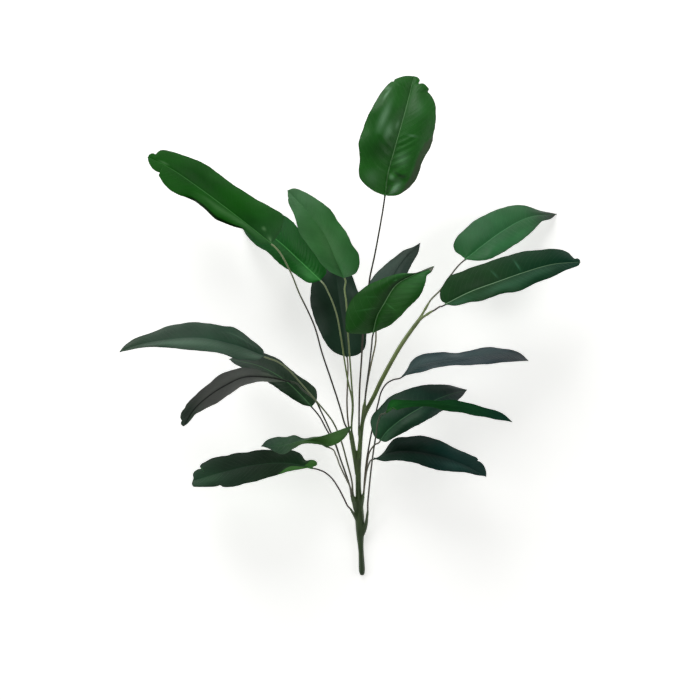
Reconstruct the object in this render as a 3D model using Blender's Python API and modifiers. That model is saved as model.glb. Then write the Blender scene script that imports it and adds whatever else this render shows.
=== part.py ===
"""Artificial banana plant of 18 leaves on a bare stake, lying down.

Units are metres, +Z up, with the floor at Z = 0. The plant is laid on its back: +Y runs from the stake to
the top leaf, +X is the plant's right side as seen from its front, and its front faces up.

Each leaf has one entry in LEAVES. Its outline, midrib and petiole were read off a front view of the plant
as (column, row) pixels, and its heights above the floor are in millimetres. The function at_pixel turns a
pixel and a height into a place in the model.
"""

import math

import bmesh
import bpy
import numpy as np

MM = 0.001

# The front view: an eye above the plant that looks straight down, and the pixel right below it
EYE_HEIGHT = 3.2
EYE_X = -0.0032
EYE_Y = -0.0295
EYE_PIXEL = 350.0
FOCAL_PIXELS = 1713.0  # makes the plant 0.90 m long

# Blades
BLADE_THICKNESS = 0.8 * MM
MIDRIB_THICKNESS = 3.4 * MM
MIDRIB_HALF_WIDTH = 2.0 * MM
MIDRIB_TAPER = 0.65  # share of its size that the midrib loses from base to tip
BASE_HALF_WIDTH = 2.6 * MM
TIP_HALF_WIDTH = 1.2 * MM
BLADE_ROWS = 13
BLADE_COLUMNS = 7
END_CROWDING = 0.4  # how far the rows gather towards base and tip
RIDGE_LIMIT = 0.7  # the largest share of a half's width that the midrib takes
NICK_HALF_LENGTH = 0.012  # of a nick in the edge, as a share of the blade's length
NICK_CLEARANCE = 1.8  # half lengths round a nick that hold no other row
RIPPLE_SHIFT = 2.4  # radians between the ripples of one leaf and the next
TILT_PASSES = 3  # rounds in which an edge's height and its distance from the midrib settle
BLADE_CREASE = math.radians(60)  # sharper edges than this are shaded sharp

# Petioles and main stem
PETIOLE_FOOT_RADIUS = 1.5 * MM
PETIOLE_END_RADIUS = 1.2 * MM
PETIOLE_POINTS = 13
PETIOLE_SIDES = 6
STEM_SIDES = 10
STRAIGHT_START = 7.0 * MM  # run of a petiole straight out of its socket
STRAIGHT_END = 6.0 * MM  # run of a petiole in line with its leaf's midrib
SOCKET_SPACING = 1.12  # room between petioles that share a socket
TOUCH_GAP = 0.3 * MM
WELD_DISTANCE = 0.01 * MM
STEM_CREASE = math.radians(40)

# Every blade: "midrib" runs from base to tip as (column, row, height). "left" and "right" are the edges
# between base and tip as (column, row), on the left and right hand of someone who looks from base to tip.
# "tilt" is how far the left and the right half rise towards the front for each unit of their width,
# "camber" how far a half bulges, "ripple" the edge's wave as (height, number of waves), and "nicks" the
# small tears as (side, share of the length, depth). "face" is the side that is seen from the front.
# "petiole" runs from the main stem to the leaf as (column, row, height).
LEAVES = {
    "top": {
        "midrib": ((385, 196, 206), (388, 173, 222), (394, 151, 232), (405, 112, 232), (414, 76, 204)),
        "left": (
            (372, 190), (360, 178.6), (359.5, 160), (359, 141), (362, 131), (368, 116),
            (376, 101), (383, 90), (393, 80.5), (405, 75.8),
        ),
        "right": (
            (398, 195), (406, 189), (414, 180.5), (421, 162.4), (428, 149), (433, 136.5),
            (436, 112), (434, 101), (429, 90), (421, 81),
        ),
        "tilt": (0.15, -0.1),
        "camber": 0.14,
        "ripple": (2.5, 3.5),
        "nicks": (("right", 0.90, 0.10), ("right", 0.955, 0.16), ("left", 0.86, 0.07)),
        "face": "upper",
        "colour": "1E521C",
        "petiole": (
            (359, 425, 78), (359.8, 385, 104), (361.7, 356.5, 122), (363, 334.5, 136),
            (366.5, 305, 152), (370, 277, 166), (374.5, 256, 178), (378.5, 235, 189),
        ),
    },
    "upper_left_long": {
        "midrib": (
            (271.6, 243.5, 172), (238, 217, 180), (202, 190, 166), (168, 167, 134), (147.7, 157, 108),
        ),
        "left": (
            (263, 244), (251.5, 236), (243.5, 229.4), (229, 224.7), (218, 220), (204.6, 208.7),
            (192.6, 200), (178, 194.6), (168.5, 188.6), (158.4, 173.5), (153, 167.5), (149, 162),
        ),
        "right": (
            (277, 237), (282, 226), (283.7, 216), (271.6, 208), (255.5, 198.6), (239.5, 188.6),
            (220.7, 175), (208.7, 165.8), (194, 159), (179, 153.8), (167, 150), (156, 151.5),
        ),
        "tilt": (0.75, -0.7),
        "camber": 0.12,
        "ripple": (2.0, 4.0),
        "nicks": (("left", 0.885, 0.20), ("right", 0.945, 0.18)),
        "face": "upper",
        "colour": "215A1C",
        "petiole": (
            (344.8, 424, 76), (341.5, 412.5, 85), (338.2, 401.5, 92), (329.7, 375.7, 108),
            (322, 352.7, 121), (314.4, 326, 134), (307.7, 310.6, 143), (300, 295, 151), (290, 271, 162),
        ),
    },
    "upper_left_behind": {
        "midrib": ((320.5, 280.3, 112), (299, 260, 88), (277, 240, 57), (256, 226, 26), (238, 217, 1.2)),
        "left": (
            (309, 283), (299, 277), (290.4, 271), (279.6, 264), (269, 253.5), (253, 242.8), (243.5, 230.5),
        ),
        "right": (
            (325.5, 272), (320, 264), (313, 254), (306.4, 244.8), (298.4, 232), (285, 217),
            (268, 208), (250, 208),
        ),
        "tilt": (0.35, -0.25),
        "camber": 0.10,
        "ripple": (1.5, 3.0),
        "nicks": (),
        "face": "upper",
        "colour": "145A1E",
        "petiole": (
            (352, 399.6, 80), (347.8, 380.4, 86), (345, 364, 90), (341, 337.4, 97),
            (336.4, 313.5, 103), (328.7, 293.4, 109),
        ),
    },
    "upper_left_front": {
        "midrib": (
            (344, 278, 182), (335.4, 258.8, 200), (324.5, 234.5, 213), (306, 210, 212), (287.5, 190.5, 196),
        ),
        "left": (
            (337.9, 275.7), (328, 271), (321, 263.6), (313.5, 253), (306.4, 243), (299, 232),
            (295.4, 217.6), (288.5, 203),
        ),
        "right": (
            (356, 273), (359.7, 261), (358.5, 254), (352.4, 245.4), (348.8, 237), (338, 221),
            (330.6, 210), (315, 198), (305, 192), (292, 188.5),
        ),
        "tilt": (-0.55, 0.7),
        "camber": 0.10,
        "ripple": (2.0, 3.0),
        "nicks": (("left", 0.93, 0.14),),
        "face": "upper",
        "colour": "346837",
        "petiole": (
            (353, 404, 92), (351.7, 385, 104), (349.7, 356.5, 123), (347.8, 331.7, 144),
            (346, 300, 167), (344.6, 288.5, 176),
        ),
    },
    "centre_back": {
        "midrib": ((347, 357, 54), (343, 325, 54), (338, 290, 44), (335, 258, 28)),
        "left": (
            (339, 354.5), (330.6, 349.6), (323.3, 338.7), (317.3, 326.6), (312.4, 313), (310, 296),
            (311.8, 284), (321, 267),
        ),
        "right": (
            (357, 355), (364.5, 348.4), (366.3, 334), (365.5, 315), (361.6, 300), (357, 288),
            (351, 273.4), (343.4, 262.4),
        ),
        "tilt": (-0.15, 0.1),
        "camber": 0.10,
        "ripple": (2.0, 3.0),
        "nicks": (),
        "face": "upper",
        "colour": "20342A",
        "petiole": ((348.3, 423.5, 64), (347, 404, 62), (347.4, 385, 58)),
    },
    "centre_front": {
        "midrib": (
            (373, 333, 225), (377, 316.4, 243), (384, 303.7, 260), (398, 283.4, 288),
            (412, 275.7, 304), (434, 266.6, 318),
        ),
        "left": (
            (360, 334), (346, 331), (345.5, 322.7), (347.3, 308.7), (352.5, 298), (359, 292),
            (369.4, 284), (378.5, 280), (390, 275.7), (405, 273), (415, 273), (425, 270.5),
        ),
        "right": (
            (380.6, 329.7), (389.7, 325.5), (402.3, 314.3), (411, 305), (417.8, 298.8), (421.5, 293),
            (425.5, 282.7), (427, 275.7), (431.5, 272),
        ),
        "tilt": (-0.35, 0.55),
        "camber": 0.12,
        "ripple": (2.0, 3.0),
        "nicks": (),
        "face": "upper",
        "colour": "1E5419",
        "petiole": ((365.8, 392, 114), (367.8, 377, 138), (370, 360, 166), (371.7, 345, 197)),
    },
    "centre_behind": {
        "midrib": ((378, 322, 132), (386, 292, 119), (402, 262, 95), (420, 243.4, 68)),
        "left": (
            (370, 314), (366.5, 300), (368.7, 283.4), (374.3, 276.4), (384, 266), (396.7, 256),
            (405, 249.7), (414.3, 246.4),
        ),
        "right": (
            (390, 314), (399, 300), (404, 286), (408, 272), (411.5, 265), (415, 259), (418.5, 252),
        ),
        "tilt": (-0.6, 0.5),
        "camber": 0.08,
        "ripple": (1.5, 2.5),
        "nicks": (),
        "face": "under",
        "colour": "3E5048",
        "petiole": ((366.2, 391, 98), (368.6, 376, 107), (372, 360, 116), (375.6, 343, 125)),
    },
    "right_upper": {
        "midrib": ((465, 259.3, 88), (487, 242, 78), (501.4, 231.7, 65), (530, 217, 30), (556.8, 214, 1.3)),
        "left": (
            (461.6, 256), (454.5, 250.5), (453, 246), (455, 240), (462.7, 230.7), (471.8, 222.6),
            (486, 214.4), (501.4, 208.3), (521, 204.9), (538, 209.8), (550, 212.4),
        ),
        "right": (
            (477, 260.8), (487, 259.8), (497.3, 255.7), (511.6, 247), (525, 238), (537, 226.6),
            (542, 221.5), (551, 218.8),
        ),
        "tilt": (-0.35, 0.6),
        "camber": 0.10,
        "ripple": (1.5, 3.0),
        "nicks": (),
        "face": "upper",
        "colour": "2D693C",
        "petiole": ((430.4, 300.4, 122), (440, 290.5, 112), (450.4, 275.6, 99)),
    },
    "right_second": {
        "midrib": (
            (444.8, 304.2, 165), (470.8, 291.4, 173), (497.3, 281.7, 171), (522, 273, 161),
            (552, 264.4, 141), (580.5, 261.8, 122),
        ),
        "left": (
            (441, 300), (440.2, 291), (443.3, 284.8), (450.4, 275.6), (460.6, 271.5), (474, 266.4),
            (495.3, 259.3), (521.8, 252), (538, 250), (558.6, 249), (567, 250.8), (576, 258),
        ),
        "right": (
            (454.5, 305.7), (470.8, 302), (480, 301.4), (491, 297.3), (501.4, 294), (522, 290),
            (538, 282), (547.3, 279), (566.7, 270), (578.5, 264.6),
        ),
        "tilt": (-0.85, 0.95),
        "camber": 0.10,
        "ripple": (1.5, 4.0),
        "nicks": (),
        "face": "upper",
        "colour": "163F1B",
        "petiole": ((433.6, 310.6, 143), (440, 306.6, 156)),
    },
    "right_middle": {
        "midrib": (
            (402, 376, 70), (420, 365, 84), (450, 360, 93), (480, 356, 88), (510, 354.5, 74),
            (528.5, 360.5, 60),
        ),
        "left": (
            (406, 370.8), (411.6, 361), (422.5, 354.5), (441, 352.3), (460.4, 352.3), (469, 350.7),
            (480, 347.5), (487.5, 347), (500.5, 348), (511.4, 350), (521.5, 354),
        ),
        "right": (
            (413.8, 373.3), (425.7, 370.6), (434.4, 368), (443, 366.4), (473.4, 364.8), (495, 363),
            (511.4, 361.2), (521, 361),
        ),
        "tilt": (-2.1, 2.2),
        "camber": 0.0,
        "ripple": (3.0, 3.0),
        "nicks": (),
        "face": "upper",
        "colour": "2D4141",
        "petiole": (
            (364.4, 482, 33), (367, 458, 46), (369, 446, 50), (371.5, 432.6, 52), (374.6, 418, 53),
            (378.4, 402.4, 55), (381.6, 391, 58), (387, 383.3, 62), (394, 379.5, 66),
        ),
    },
    "right_oval": {
        "midrib": (
            (380, 440.5, 104), (386.7, 431.5, 110), (397, 422.5, 113), (420, 408, 103), (445, 396, 76),
            (467, 389.8, 46),
        ),
        "left": (
            (374.8, 437), (371.5, 429.3), (370.2, 422.8), (372.6, 415), (377, 410), (384.5, 402),
            (391, 396.3), (403, 390.8), (417, 386.5), (430, 384.3), (441, 384.3), (452, 385.4),
        ),
        "right": (
            (384.5, 442), (394.3, 437.5), (406, 431.5), (419, 424.4), (432, 417.4), (444, 409.8),
            (458, 400), (463.7, 394.5),
        ),
        "tilt": (-0.4, 0.5),
        "camber": 0.10,
        "ripple": (2.0, 3.0),
        "nicks": (),
        "face": "upper",
        "colour": "1C3A2A",
        "petiole": ((364.6, 482, 53), (367, 464, 70), (369, 453.5, 80), (372, 448, 90), (376, 444, 98)),
    },
    "right_narrow": {
        "midrib": (
            (386, 411.5, 172), (397, 404.5, 184), (425, 403, 202), (457, 405.6, 206), (484, 411.5, 198),
            (512, 421.5, 184),
        ),
        "left": (
            (391, 400), (403, 400), (419, 400), (435.5, 400.4), (457, 400.6), (468, 402.8),
            (482, 407), (496, 410.4), (505, 415),
        ),
        "right": (
            (389, 412.6), (403, 408), (417, 406.6), (430, 406), (443, 409.8), (457, 411.6),
            (473.4, 414.9), (484, 417), (500.5, 420),
        ),
        "tilt": (-3.6, 3.6),
        "camber": 0.0,
        "ripple": (2.0, 3.0),
        "nicks": (),
        "face": "upper",
        "colour": "124619",
        "petiole": (
            (367.8, 503, 46), (368.8, 492, 61), (370.6, 473.8, 90), (374.2, 446, 126),
            (376, 435, 140), (378.5, 420.4, 158), (382, 414, 167),
        ),
    },
    "right_bottom": {
        "midrib": ((373.7, 458.6, 80), (395, 451.5, 95), (430, 454, 105), (460, 463, 98), (486.3, 476.3, 84)),
        "left": (
            (378, 457), (384.5, 451), (389, 444.5), (394.3, 439), (408.4, 436.4), (428, 436.4),
            (435.5, 438.5), (447.4, 444), (462.6, 451.5), (478, 459), (483, 464.6), (486, 470.5),
        ),
        "right": (
            (384.5, 461.3), (391, 460.5), (406, 461.3), (415, 463), (425.7, 466.7), (432, 468.4),
            (451.7, 471.6), (462.6, 472), (477.8, 475),
        ),
        "tilt": (-1.1, 1.1),
        "camber": 0.06,
        "ripple": (2.0, 3.0),
        "nicks": (("left", 0.855, 0.12),),
        "face": "upper",
        "colour": "0E261E",
        "petiole": ((364.8, 484, 44), (367.2, 469, 56), (369.6, 462.5, 68)),
    },
    "left_middle": {
        "midrib": (
            (264, 356, 182), (235, 345, 197), (200, 338, 201), (165, 340, 188), (135, 346, 168),
            (119.6, 351.6, 158),
        ),
        "left": (
            (259, 359.6), (247, 359.6), (236, 359), (229.3, 356.3), (218, 352.8), (197, 350.4),
            (173, 348), (153.5, 347), (138, 348.2), (128, 350.4),
        ),
        "right": (
            (264, 352), (258.7, 345), (250, 338), (241, 331.5), (233.5, 326.8), (222, 326),
            (208, 323.2), (181.6, 323.3), (170, 325.4), (157.7, 329.6), (145, 334.6), (131, 340.2),
            (124, 346),
        ),
        "tilt": (1.6, -1.3),
        "camber": 0.06,
        "ripple": (2.0, 4.0),
        "nicks": (),
        "face": "upper",
        "colour": "345041",
        "petiole": (
            (351.8, 481, 57), (347, 462, 82), (342, 443.5, 100), (337.5, 431.3, 115), (332.5, 421.3, 125),
            (325, 411.3, 136), (317.5, 402.5, 145), (300, 382.4, 161), (288, 369.4, 170), (276, 361, 177),
        ),
    },
    "left_behind": {
        "midrib": ((312, 406.8, 100), (301, 395, 97), (286, 381, 93), (262, 367, 83), (229, 359, 66)),
        "left": (
            (303, 405), (295, 400.5), (278.4, 389.3), (267, 381.6), (254, 373.5), (242, 367.5), (234, 363.5),
        ),
        "right": (
            (316.5, 400), (317, 394), (316, 388.6), (311, 384), (299.4, 376), (289.6, 368), (278.4, 359),
            (264, 353), (245, 354),
        ),
        "tilt": (0.45, -0.8),
        "camber": 0.08,
        "ripple": (1.5, 3.0),
        "nicks": (),
        "face": "upper",
        "colour": "1C321E",
        "petiole": (
            (350, 487.5, 35), (345.8, 473.8, 50), (340.4, 459, 66), (334.8, 443.5, 78),
            (326.8, 430, 90), (319, 415.8, 97),
        ),
    },
    "left_turned": {
        "midrib": (
            (291, 381, 156), (264, 376, 166), (242, 377, 171), (225, 385, 168), (208, 396, 158),
            (194, 409, 145), (183.5, 426, 130),
        ),
        "left": (
            (280, 381.7), (265.7, 381.7), (254.5, 382.3), (240.5, 387), (229.3, 394), (218, 402),
            (208, 406.8), (197, 413.8), (188.6, 422),
        ),
        "right": (
            (281, 377.8), (271.4, 374.5), (261.5, 370.3), (250.3, 367.8), (242, 367.8), (230.7, 370.3),
            (218, 376), (208, 384.4), (194, 395.6), (185.8, 405.4), (180.4, 413.8), (180.2, 420),
        ),
        "tilt": (-1.5, 1.4),
        "camber": 0.06,
        "ripple": (2.0, 4.0),
        "nicks": (("right", 0.955, 0.2),),
        "face": "under",
        "colour": "4B4B48",
        "petiole": (
            (350.6, 488.5, 41), (345.8, 474, 58), (340.8, 460, 76), (335.4, 443.5, 90),
            (329.7, 430, 104), (322, 413.5, 121), (314.8, 399.8, 134), (304, 391, 146),
        ),
    },
    "left_twisted": {
        "midrib": (
            (329, 447, 225), (318, 442.4, 238), (303.6, 440.6, 247), (285, 445, 240), (261.3, 446, 216),
        ),
        "left": (
            (321.8, 444.9), (313, 443.8), (302.4, 443.8), (292.7, 449), (286.6, 453), (280.6, 453.8),
            (274.5, 451.4), (268.5, 448.6),
        ),
        "right": (
            (337.5, 443.5), (344.8, 438), (348.8, 432), (351, 426.3), (345, 427.9),
            (337.5, 431.4), (327.8, 436), (313.3, 436.8), (303.6, 438.4), (294, 435.4),
            (286.6, 437), (277, 436.8), (266, 440.6),
        ),
        "tilt": (1.2, -0.5),
        "camber": 0.05,
        "ripple": (1.5, 3.0),
        "nicks": (),
        "face": "upper",
        "colour": "32692D",
        "petiole": (
            (350.8, 489.5, 52), (347, 480.4, 84), (342.8, 472, 116), (339.6, 465, 146), (335.8, 455, 192),
        ),
    },
    "left_bottom": {
        "midrib": (
            (313, 467.7, 114), (292, 463.5, 123), (255, 465, 130), (225, 471.5, 122), (192.4, 481, 106),
        ),
        "left": (
            (308.4, 467.9), (298.8, 470), (283, 473.5), (264.8, 478.6), (248, 483), (232, 486.3),
            (221, 486.4), (210, 486.6), (195, 486.4),
        ),
        "right": (
            (317.3, 464), (316.6, 461.8), (311.5, 459.4), (306, 459.8), (301, 453.8), (294, 450.7),
            (276, 450.2), (257.6, 450), (245.4, 452.6), (237, 453), (227, 455.6), (215, 457.4),
            (204, 462.3), (196, 470.4), (192.7, 475.6),
        ),
        "tilt": (1.2, -1.1),
        "camber": 0.06,
        "ripple": (2.0, 4.0),
        "nicks": (("left", 0.80, 0.12), ("right", 0.86, 0.22)),
        "face": "upper",
        "colour": "193223",
        "petiole": (
            (347.4, 505.6, 44), (344, 498.6, 56), (337.5, 486.5, 78), (331.5, 478, 94), (323, 471.4, 107),
        ),
    },
}

# The main stem: one moulded piece of several arms, each a tube through (column, row, height, radius in mm).
# "sockets" names the petioles that leave the arm's end, and "turn" the angle of the first of them.
STEM_ARMS = {
    "stake_and_column": {
        "path": (
            (362.1, 575.4, 5.0, 2.2), (362.1, 574.2, 5.1, 4.3), (362, 571.8, 5.2, 5.4),
            (361.6, 562, 5.2, 5.5), (361.1, 552, 5.2, 5.0), (360.7, 546, 6.0, 5.4),
            (360.2, 536, 7.8, 7.0), (359.8, 521, 11.5, 8.6), (359.2, 508, 18, 7.8),
            (358.8, 499, 24, 6.2), (358.4, 490, 30, 5.4), (358.2, 472, 42, 5.2), (358.2, 458, 51, 4.9),
        ),
        "sockets": (),
        "turn": 0,
    },
    "left_arm": {
        "path": (
            (357.4, 474, 41, 4.6), (355.4, 460, 50, 4.5), (353.2, 447, 58, 4.5), (351.6, 437.5, 65, 4.4),
        ),
        "sockets": ("upper_left_front", "upper_left_long", "centre_back", "upper_left_behind"),
        "turn": 45,
    },
    "right_arm": {
        "path": (
            (358.4, 470, 43, 4.6), (359.4, 455, 53, 4.5), (360.2, 443, 61, 4.2), (361.4, 431, 69, 3.8),
            (362.8, 421, 75, 3.7), (366.3, 411, 82, 3.9), (370.3, 403.2, 87, 4.0), (374.4, 395.3, 92, 4.1),
            (380.1, 382.9, 100, 4.1), (386.7, 370.4, 107, 4.1), (393.5, 357.9, 113, 4.0),
            (400.9, 345.4, 118, 4.0), (409.4, 332.9, 123, 3.9), (418.6, 320.6, 127, 3.7),
        ),
        "sockets": (),
        "turn": 0,
    },
    "fork_to_right_upper": {
        "path": ((414, 326, 126, 2.8), (421.4, 315.6, 128, 2.5), (425.8, 308, 127, 2.1)),
        "sockets": ("right_upper",),
        "turn": 0,
    },
    "fork_to_right_second": {
        "path": ((414, 326, 126, 2.8), (422, 317.8, 131, 2.5), (428, 313.8, 136, 2.1)),
        "sockets": ("right_second",),
        "turn": 0,
    },
    "stub_to_top": {
        "path": ((360.6, 452, 55, 2.8), (359.8, 442, 64, 2.5), (359.2, 433, 72, 2.2)),
        "sockets": ("top",),
        "turn": 0,
    },
    "stub_to_centre": {
        "path": ((362, 426, 71, 3.4), (363.4, 414, 82, 3.6), (364.5, 405, 91, 3.6)),
        "sockets": ("centre_front", "centre_behind"),
        "turn": 90,
    },
    "lower_left": {
        "path": ((359, 520, 13, 5.0), (356, 509, 19, 5.0), (353.5, 500, 28, 4.3)),
        "sockets": ("left_middle", "left_twisted", "left_behind", "left_turned"),
        "turn": 45,
    },
    "lowest_left": {
        "path": ((358.6, 524, 12, 3.6), (355.6, 517.5, 18, 3.2), (352.6, 512.4, 27, 2.3)),
        "sockets": ("left_bottom",),
        "turn": 0,
    },
    "lower_right_front": {
        "path": ((360, 518, 13, 4.2), (361.3, 507, 21, 3.7), (363, 497, 32, 3.3)),
        "sockets": ("right_oval", "right_bottom"),
        "turn": 90,
    },
    "lower_right_back": {
        "path": ((360, 518, 12, 4.0), (361.4, 507, 16, 3.3), (363, 497.5, 22.5, 2.2)),
        "sockets": ("right_middle",),
        "turn": 0,
    },
    "knob": {
        "path": ((360.8, 538, 9, 4.0), (364.2, 530, 12, 4.2), (366.2, 523, 18, 3.4), (367.2, 515.4, 28, 2.3)),
        "sockets": ("right_narrow",),
        "turn": 0,
    },
}

STEM_COLOUR = "2F4128"
PETIOLE_COLOUR = "55603F"
LEAF_ROUGHNESS = 0.5
STEM_ROUGHNESS = 0.55


def at_pixel(column, row, height):
    """Place of a front-view pixel at a height in millimetres above the floor."""
    scale = (EYE_HEIGHT - np.asarray(height) * MM) / FOCAL_PIXELS
    x = EYE_X + (np.asarray(column) - EYE_PIXEL) * scale
    y = EYE_Y - (np.asarray(row) - EYE_PIXEL) * scale
    return np.stack(np.broadcast_arrays(x, y, np.asarray(height) * MM), axis=-1)


def smooth_curve(points, shares):
    """Points at the given shares of the length of a smooth curve through the points."""
    points = np.asarray(points, float)
    steps = np.linalg.norm(np.diff(points, axis=0), axis=1)
    knots = np.concatenate(([0.0], np.cumsum(steps))) / steps.sum()
    slopes = np.gradient(points, knots, axis=0)
    shares = np.asarray(shares, float)
    low = np.clip(np.searchsorted(knots, shares, side="right") - 1, 0, len(knots) - 2)
    gap = (knots[low + 1] - knots[low])[:, None]
    t = (shares - knots[low])[:, None] / gap
    return (
        (2 * t**3 - 3 * t**2 + 1) * points[low]
        + (t**3 - 2 * t**2 + t) * gap * slopes[low]
        + (3 * t**2 - 2 * t**3) * points[low + 1]
        + (t**3 - t**2) * gap * slopes[low + 1]
    )


def unit(vector):
    return vector / np.linalg.norm(vector, axis=-1, keepdims=True)


def linear_colour(hex_colour):
    """An sRGB hex colour as linear red, green, blue and alpha."""
    values = [int(hex_colour[i:i + 2], 16) / 255 for i in (0, 2, 4)]
    return [v / 12.92 if v <= 0.04045 else ((v + 0.055) / 1.055) ** 2.4 for v in values] + [1.0]


def plain_material(name, hex_colour, roughness):
    material = bpy.data.materials.new(name)
    material.use_nodes = True
    shader = material.node_tree.nodes["Principled BSDF"]
    shader.inputs["Base Color"].default_value = linear_colour(hex_colour)
    shader.inputs["Roughness"].default_value = roughness
    shader.inputs["Metallic"].default_value = 0.0
    return material


def add_object(name, data, collection, material):
    thing = bpy.data.objects.new(name, data)
    collection.objects.link(thing)
    data.materials.append(material)
    return thing


def evaluated_mesh(thing):
    """A new mesh of the object with its modifiers applied, on no object yet."""
    depsgraph = bpy.context.evaluated_depsgraph_get()
    return bpy.data.meshes.new_from_object(thing.evaluated_get(depsgraph))


def flatten_underside(mesh):
    """Presses what would reach below the floor flat onto it."""
    for vertex in mesh.vertices:
        vertex.co.z = max(vertex.co.z, 0.0)


def blade_rows(leaf):
    """Shares of the length at which the blade has a row of points, with three rows at each nick."""
    even = np.linspace(0.0, 1.0, BLADE_ROWS)
    crowded = 0.5 - 0.5 * np.cos(math.pi * even)
    rows = (1 - END_CROWDING) * even + END_CROWDING * crowded
    for _, place, _ in leaf["nicks"]:
        rows = rows[np.abs(rows - place) > NICK_CLEARANCE * NICK_HALF_LENGTH]
        extra = (place - NICK_HALF_LENGTH, place, place + NICK_HALF_LENGTH)
        rows = np.sort(np.append(rows, extra))
    return rows


def edge_points(leaf, side, rows, midrib):
    """The blade's edge on one side, and for each row its distance from the midrib."""
    sign = -1.0 if side == "left" else 1.0
    tilt = leaf["tilt"][0 if side == "left" else 1]
    ends = [leaf["midrib"][0][:2], leaf["midrib"][-1][:2]]
    pixels = smooth_curve([ends[0], *leaf[side], ends[1]], rows)
    height = midrib[:, 2]
    for _ in range(TILT_PASSES):
        edge = at_pixel(pixels[:, 0], pixels[:, 1], height / MM)
        width = np.linalg.norm((edge - midrib)[:, :2], axis=1)
        height = midrib[:, 2] + tilt * width
    along = unit(np.gradient(midrib, rows, axis=0))
    across = np.stack((along[:, 1], -along[:, 0], np.zeros(len(rows))), axis=1) * sign
    across = unit(across)
    across[:, 2] = tilt
    across -= np.sum(across * along, axis=1, keepdims=True) * along
    across = unit(across)
    edge[0] = midrib[0] + BASE_HALF_WIDTH * across[0]
    edge[-1] = midrib[-1] + TIP_HALF_WIDTH * across[-1]
    for nick_side, place, depth in leaf["nicks"]:
        if nick_side == side:
            row = np.argmin(np.abs(rows - place))
            edge[row] += depth * (midrib[row] - edge[row])
    return edge, np.linalg.norm(edge - midrib, axis=1)


def blade_surface(leaf, phase):
    """The blade's front face as rows of BLADE_COLUMNS points, from the left edge to the right one.

    A point lies on the straight line from the midrib to the edge, is raised by the half's camber, and
    near the edge also by the ripple.
    """
    rows = blade_rows(leaf)
    midrib = smooth_curve(at_pixel(*np.array(leaf["midrib"], float).T), rows)
    surface = np.empty((len(rows), BLADE_COLUMNS, 3))
    centre = BLADE_COLUMNS // 2
    surface[:, centre] = midrib
    ridge = MIDRIB_HALF_WIDTH * (1 - MIDRIB_TAPER * rows)
    height, waves = leaf["ripple"]
    wave = height * MM * np.sin(2 * math.pi * waves * rows + phase) * np.sin(math.pi * rows)
    for side, step in (("left", -1), ("right", 1)):
        edge, width = edge_points(leaf, side, rows, midrib)
        near = np.minimum(ridge / width, RIDGE_LIMIT)
        for column, share in ((1, near), (2, (1 + near) / 2), (3, np.ones(len(rows)))):
            point = midrib + share[:, None] * (edge - midrib)
            point[:, 2] += leaf["camber"] * width * 4 * share * (1 - share)
            point[:, 2] += wave * share**2
            surface[:, centre + step * column] = point
    return surface


def add_blade(name, leaf, phase, collection):
    """A blade with a thicker midrib on its back, from a grid moved onto the blade's surface."""
    surface = blade_surface(leaf, phase)
    rows = len(surface)
    bm = bmesh.new()
    bmesh.ops.create_grid(bm, x_segments=BLADE_COLUMNS - 1, y_segments=rows - 1, size=1.0)
    bm.verts.ensure_lookup_table()
    places = []
    for vertex in bm.verts:
        column = round((vertex.co.x + 1) / 2 * (BLADE_COLUMNS - 1))
        row = round((vertex.co.y + 1) / 2 * (rows - 1))
        vertex.co = surface[row, column]
        places.append((row, column))
    bmesh.ops.triangulate(bm, faces=bm.faces, quad_method="FIXED")
    mesh = bpy.data.meshes.new(name)
    bm.to_mesh(mesh)
    bm.free()
    colour = plain_material(name + "_green", leaf["colour"], LEAF_ROUGHNESS)
    blade = add_object(name, mesh, collection, colour)
    ridge = blade.vertex_groups.new(name="midrib")
    for index, (row, column) in enumerate(places):
        if column == BLADE_COLUMNS // 2:
            ridge.add([index], 1 - MIDRIB_TAPER * row / (rows - 1), "REPLACE")
    solidify = blade.modifiers.new("thickness", "SOLIDIFY")
    solidify.thickness = MIDRIB_THICKNESS
    solidify.offset = -1.0 if leaf["face"] == "upper" else 1.0
    solidify.vertex_group = "midrib"
    solidify.thickness_vertex_group = BLADE_THICKNESS / MIDRIB_THICKNESS
    solid = evaluated_mesh(blade)
    blade.modifiers.remove(solidify)
    flatten_underside(solid)
    solid.shade_smooth()
    solid.set_sharp_from_angle(angle=BLADE_CREASE)
    blade.data = solid
    bpy.data.meshes.remove(mesh)
    return surface


def socket_ends(arm):
    """Start and direction of each petiole that leaves the end of an arm."""
    path = np.array(arm["path"], float)
    end = at_pixel(*path[-1, :3])
    along = unit(end - at_pixel(*path[-2, :3]))
    across = unit(np.array((along[1], -along[0], 0.0)))
    up = np.cross(across, along)
    count = len(arm["sockets"])
    spread = 0.0
    if count > 1:
        spread = SOCKET_SPACING * PETIOLE_FOOT_RADIUS / math.sin(math.pi / count)
    for index, name in enumerate(arm["sockets"]):
        angle = math.radians(arm["turn"] + 360 * index / count)
        aside = spread * (math.cos(angle) * across + math.sin(angle) * up)
        yield name, end + TOUCH_GAP * along + aside, along


def add_tube(name, points, radii, sides, collection, material):
    """A closed tube through the points, as a curve with filled ends."""
    curve = bpy.data.curves.new(name, "CURVE")
    curve.dimensions = "3D"
    curve.bevel_depth = 1.0
    curve.bevel_resolution = (sides - 4) // 2
    curve.use_fill_caps = True
    spline = curve.splines.new("POLY")
    spline.points.add(len(points) - 1)
    for point, place, radius in zip(spline.points, points, radii):
        point.co = (*place, 1.0)
        point.radius = radius
    spline.use_smooth = True
    return add_object(name, curve, collection, material)


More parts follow.
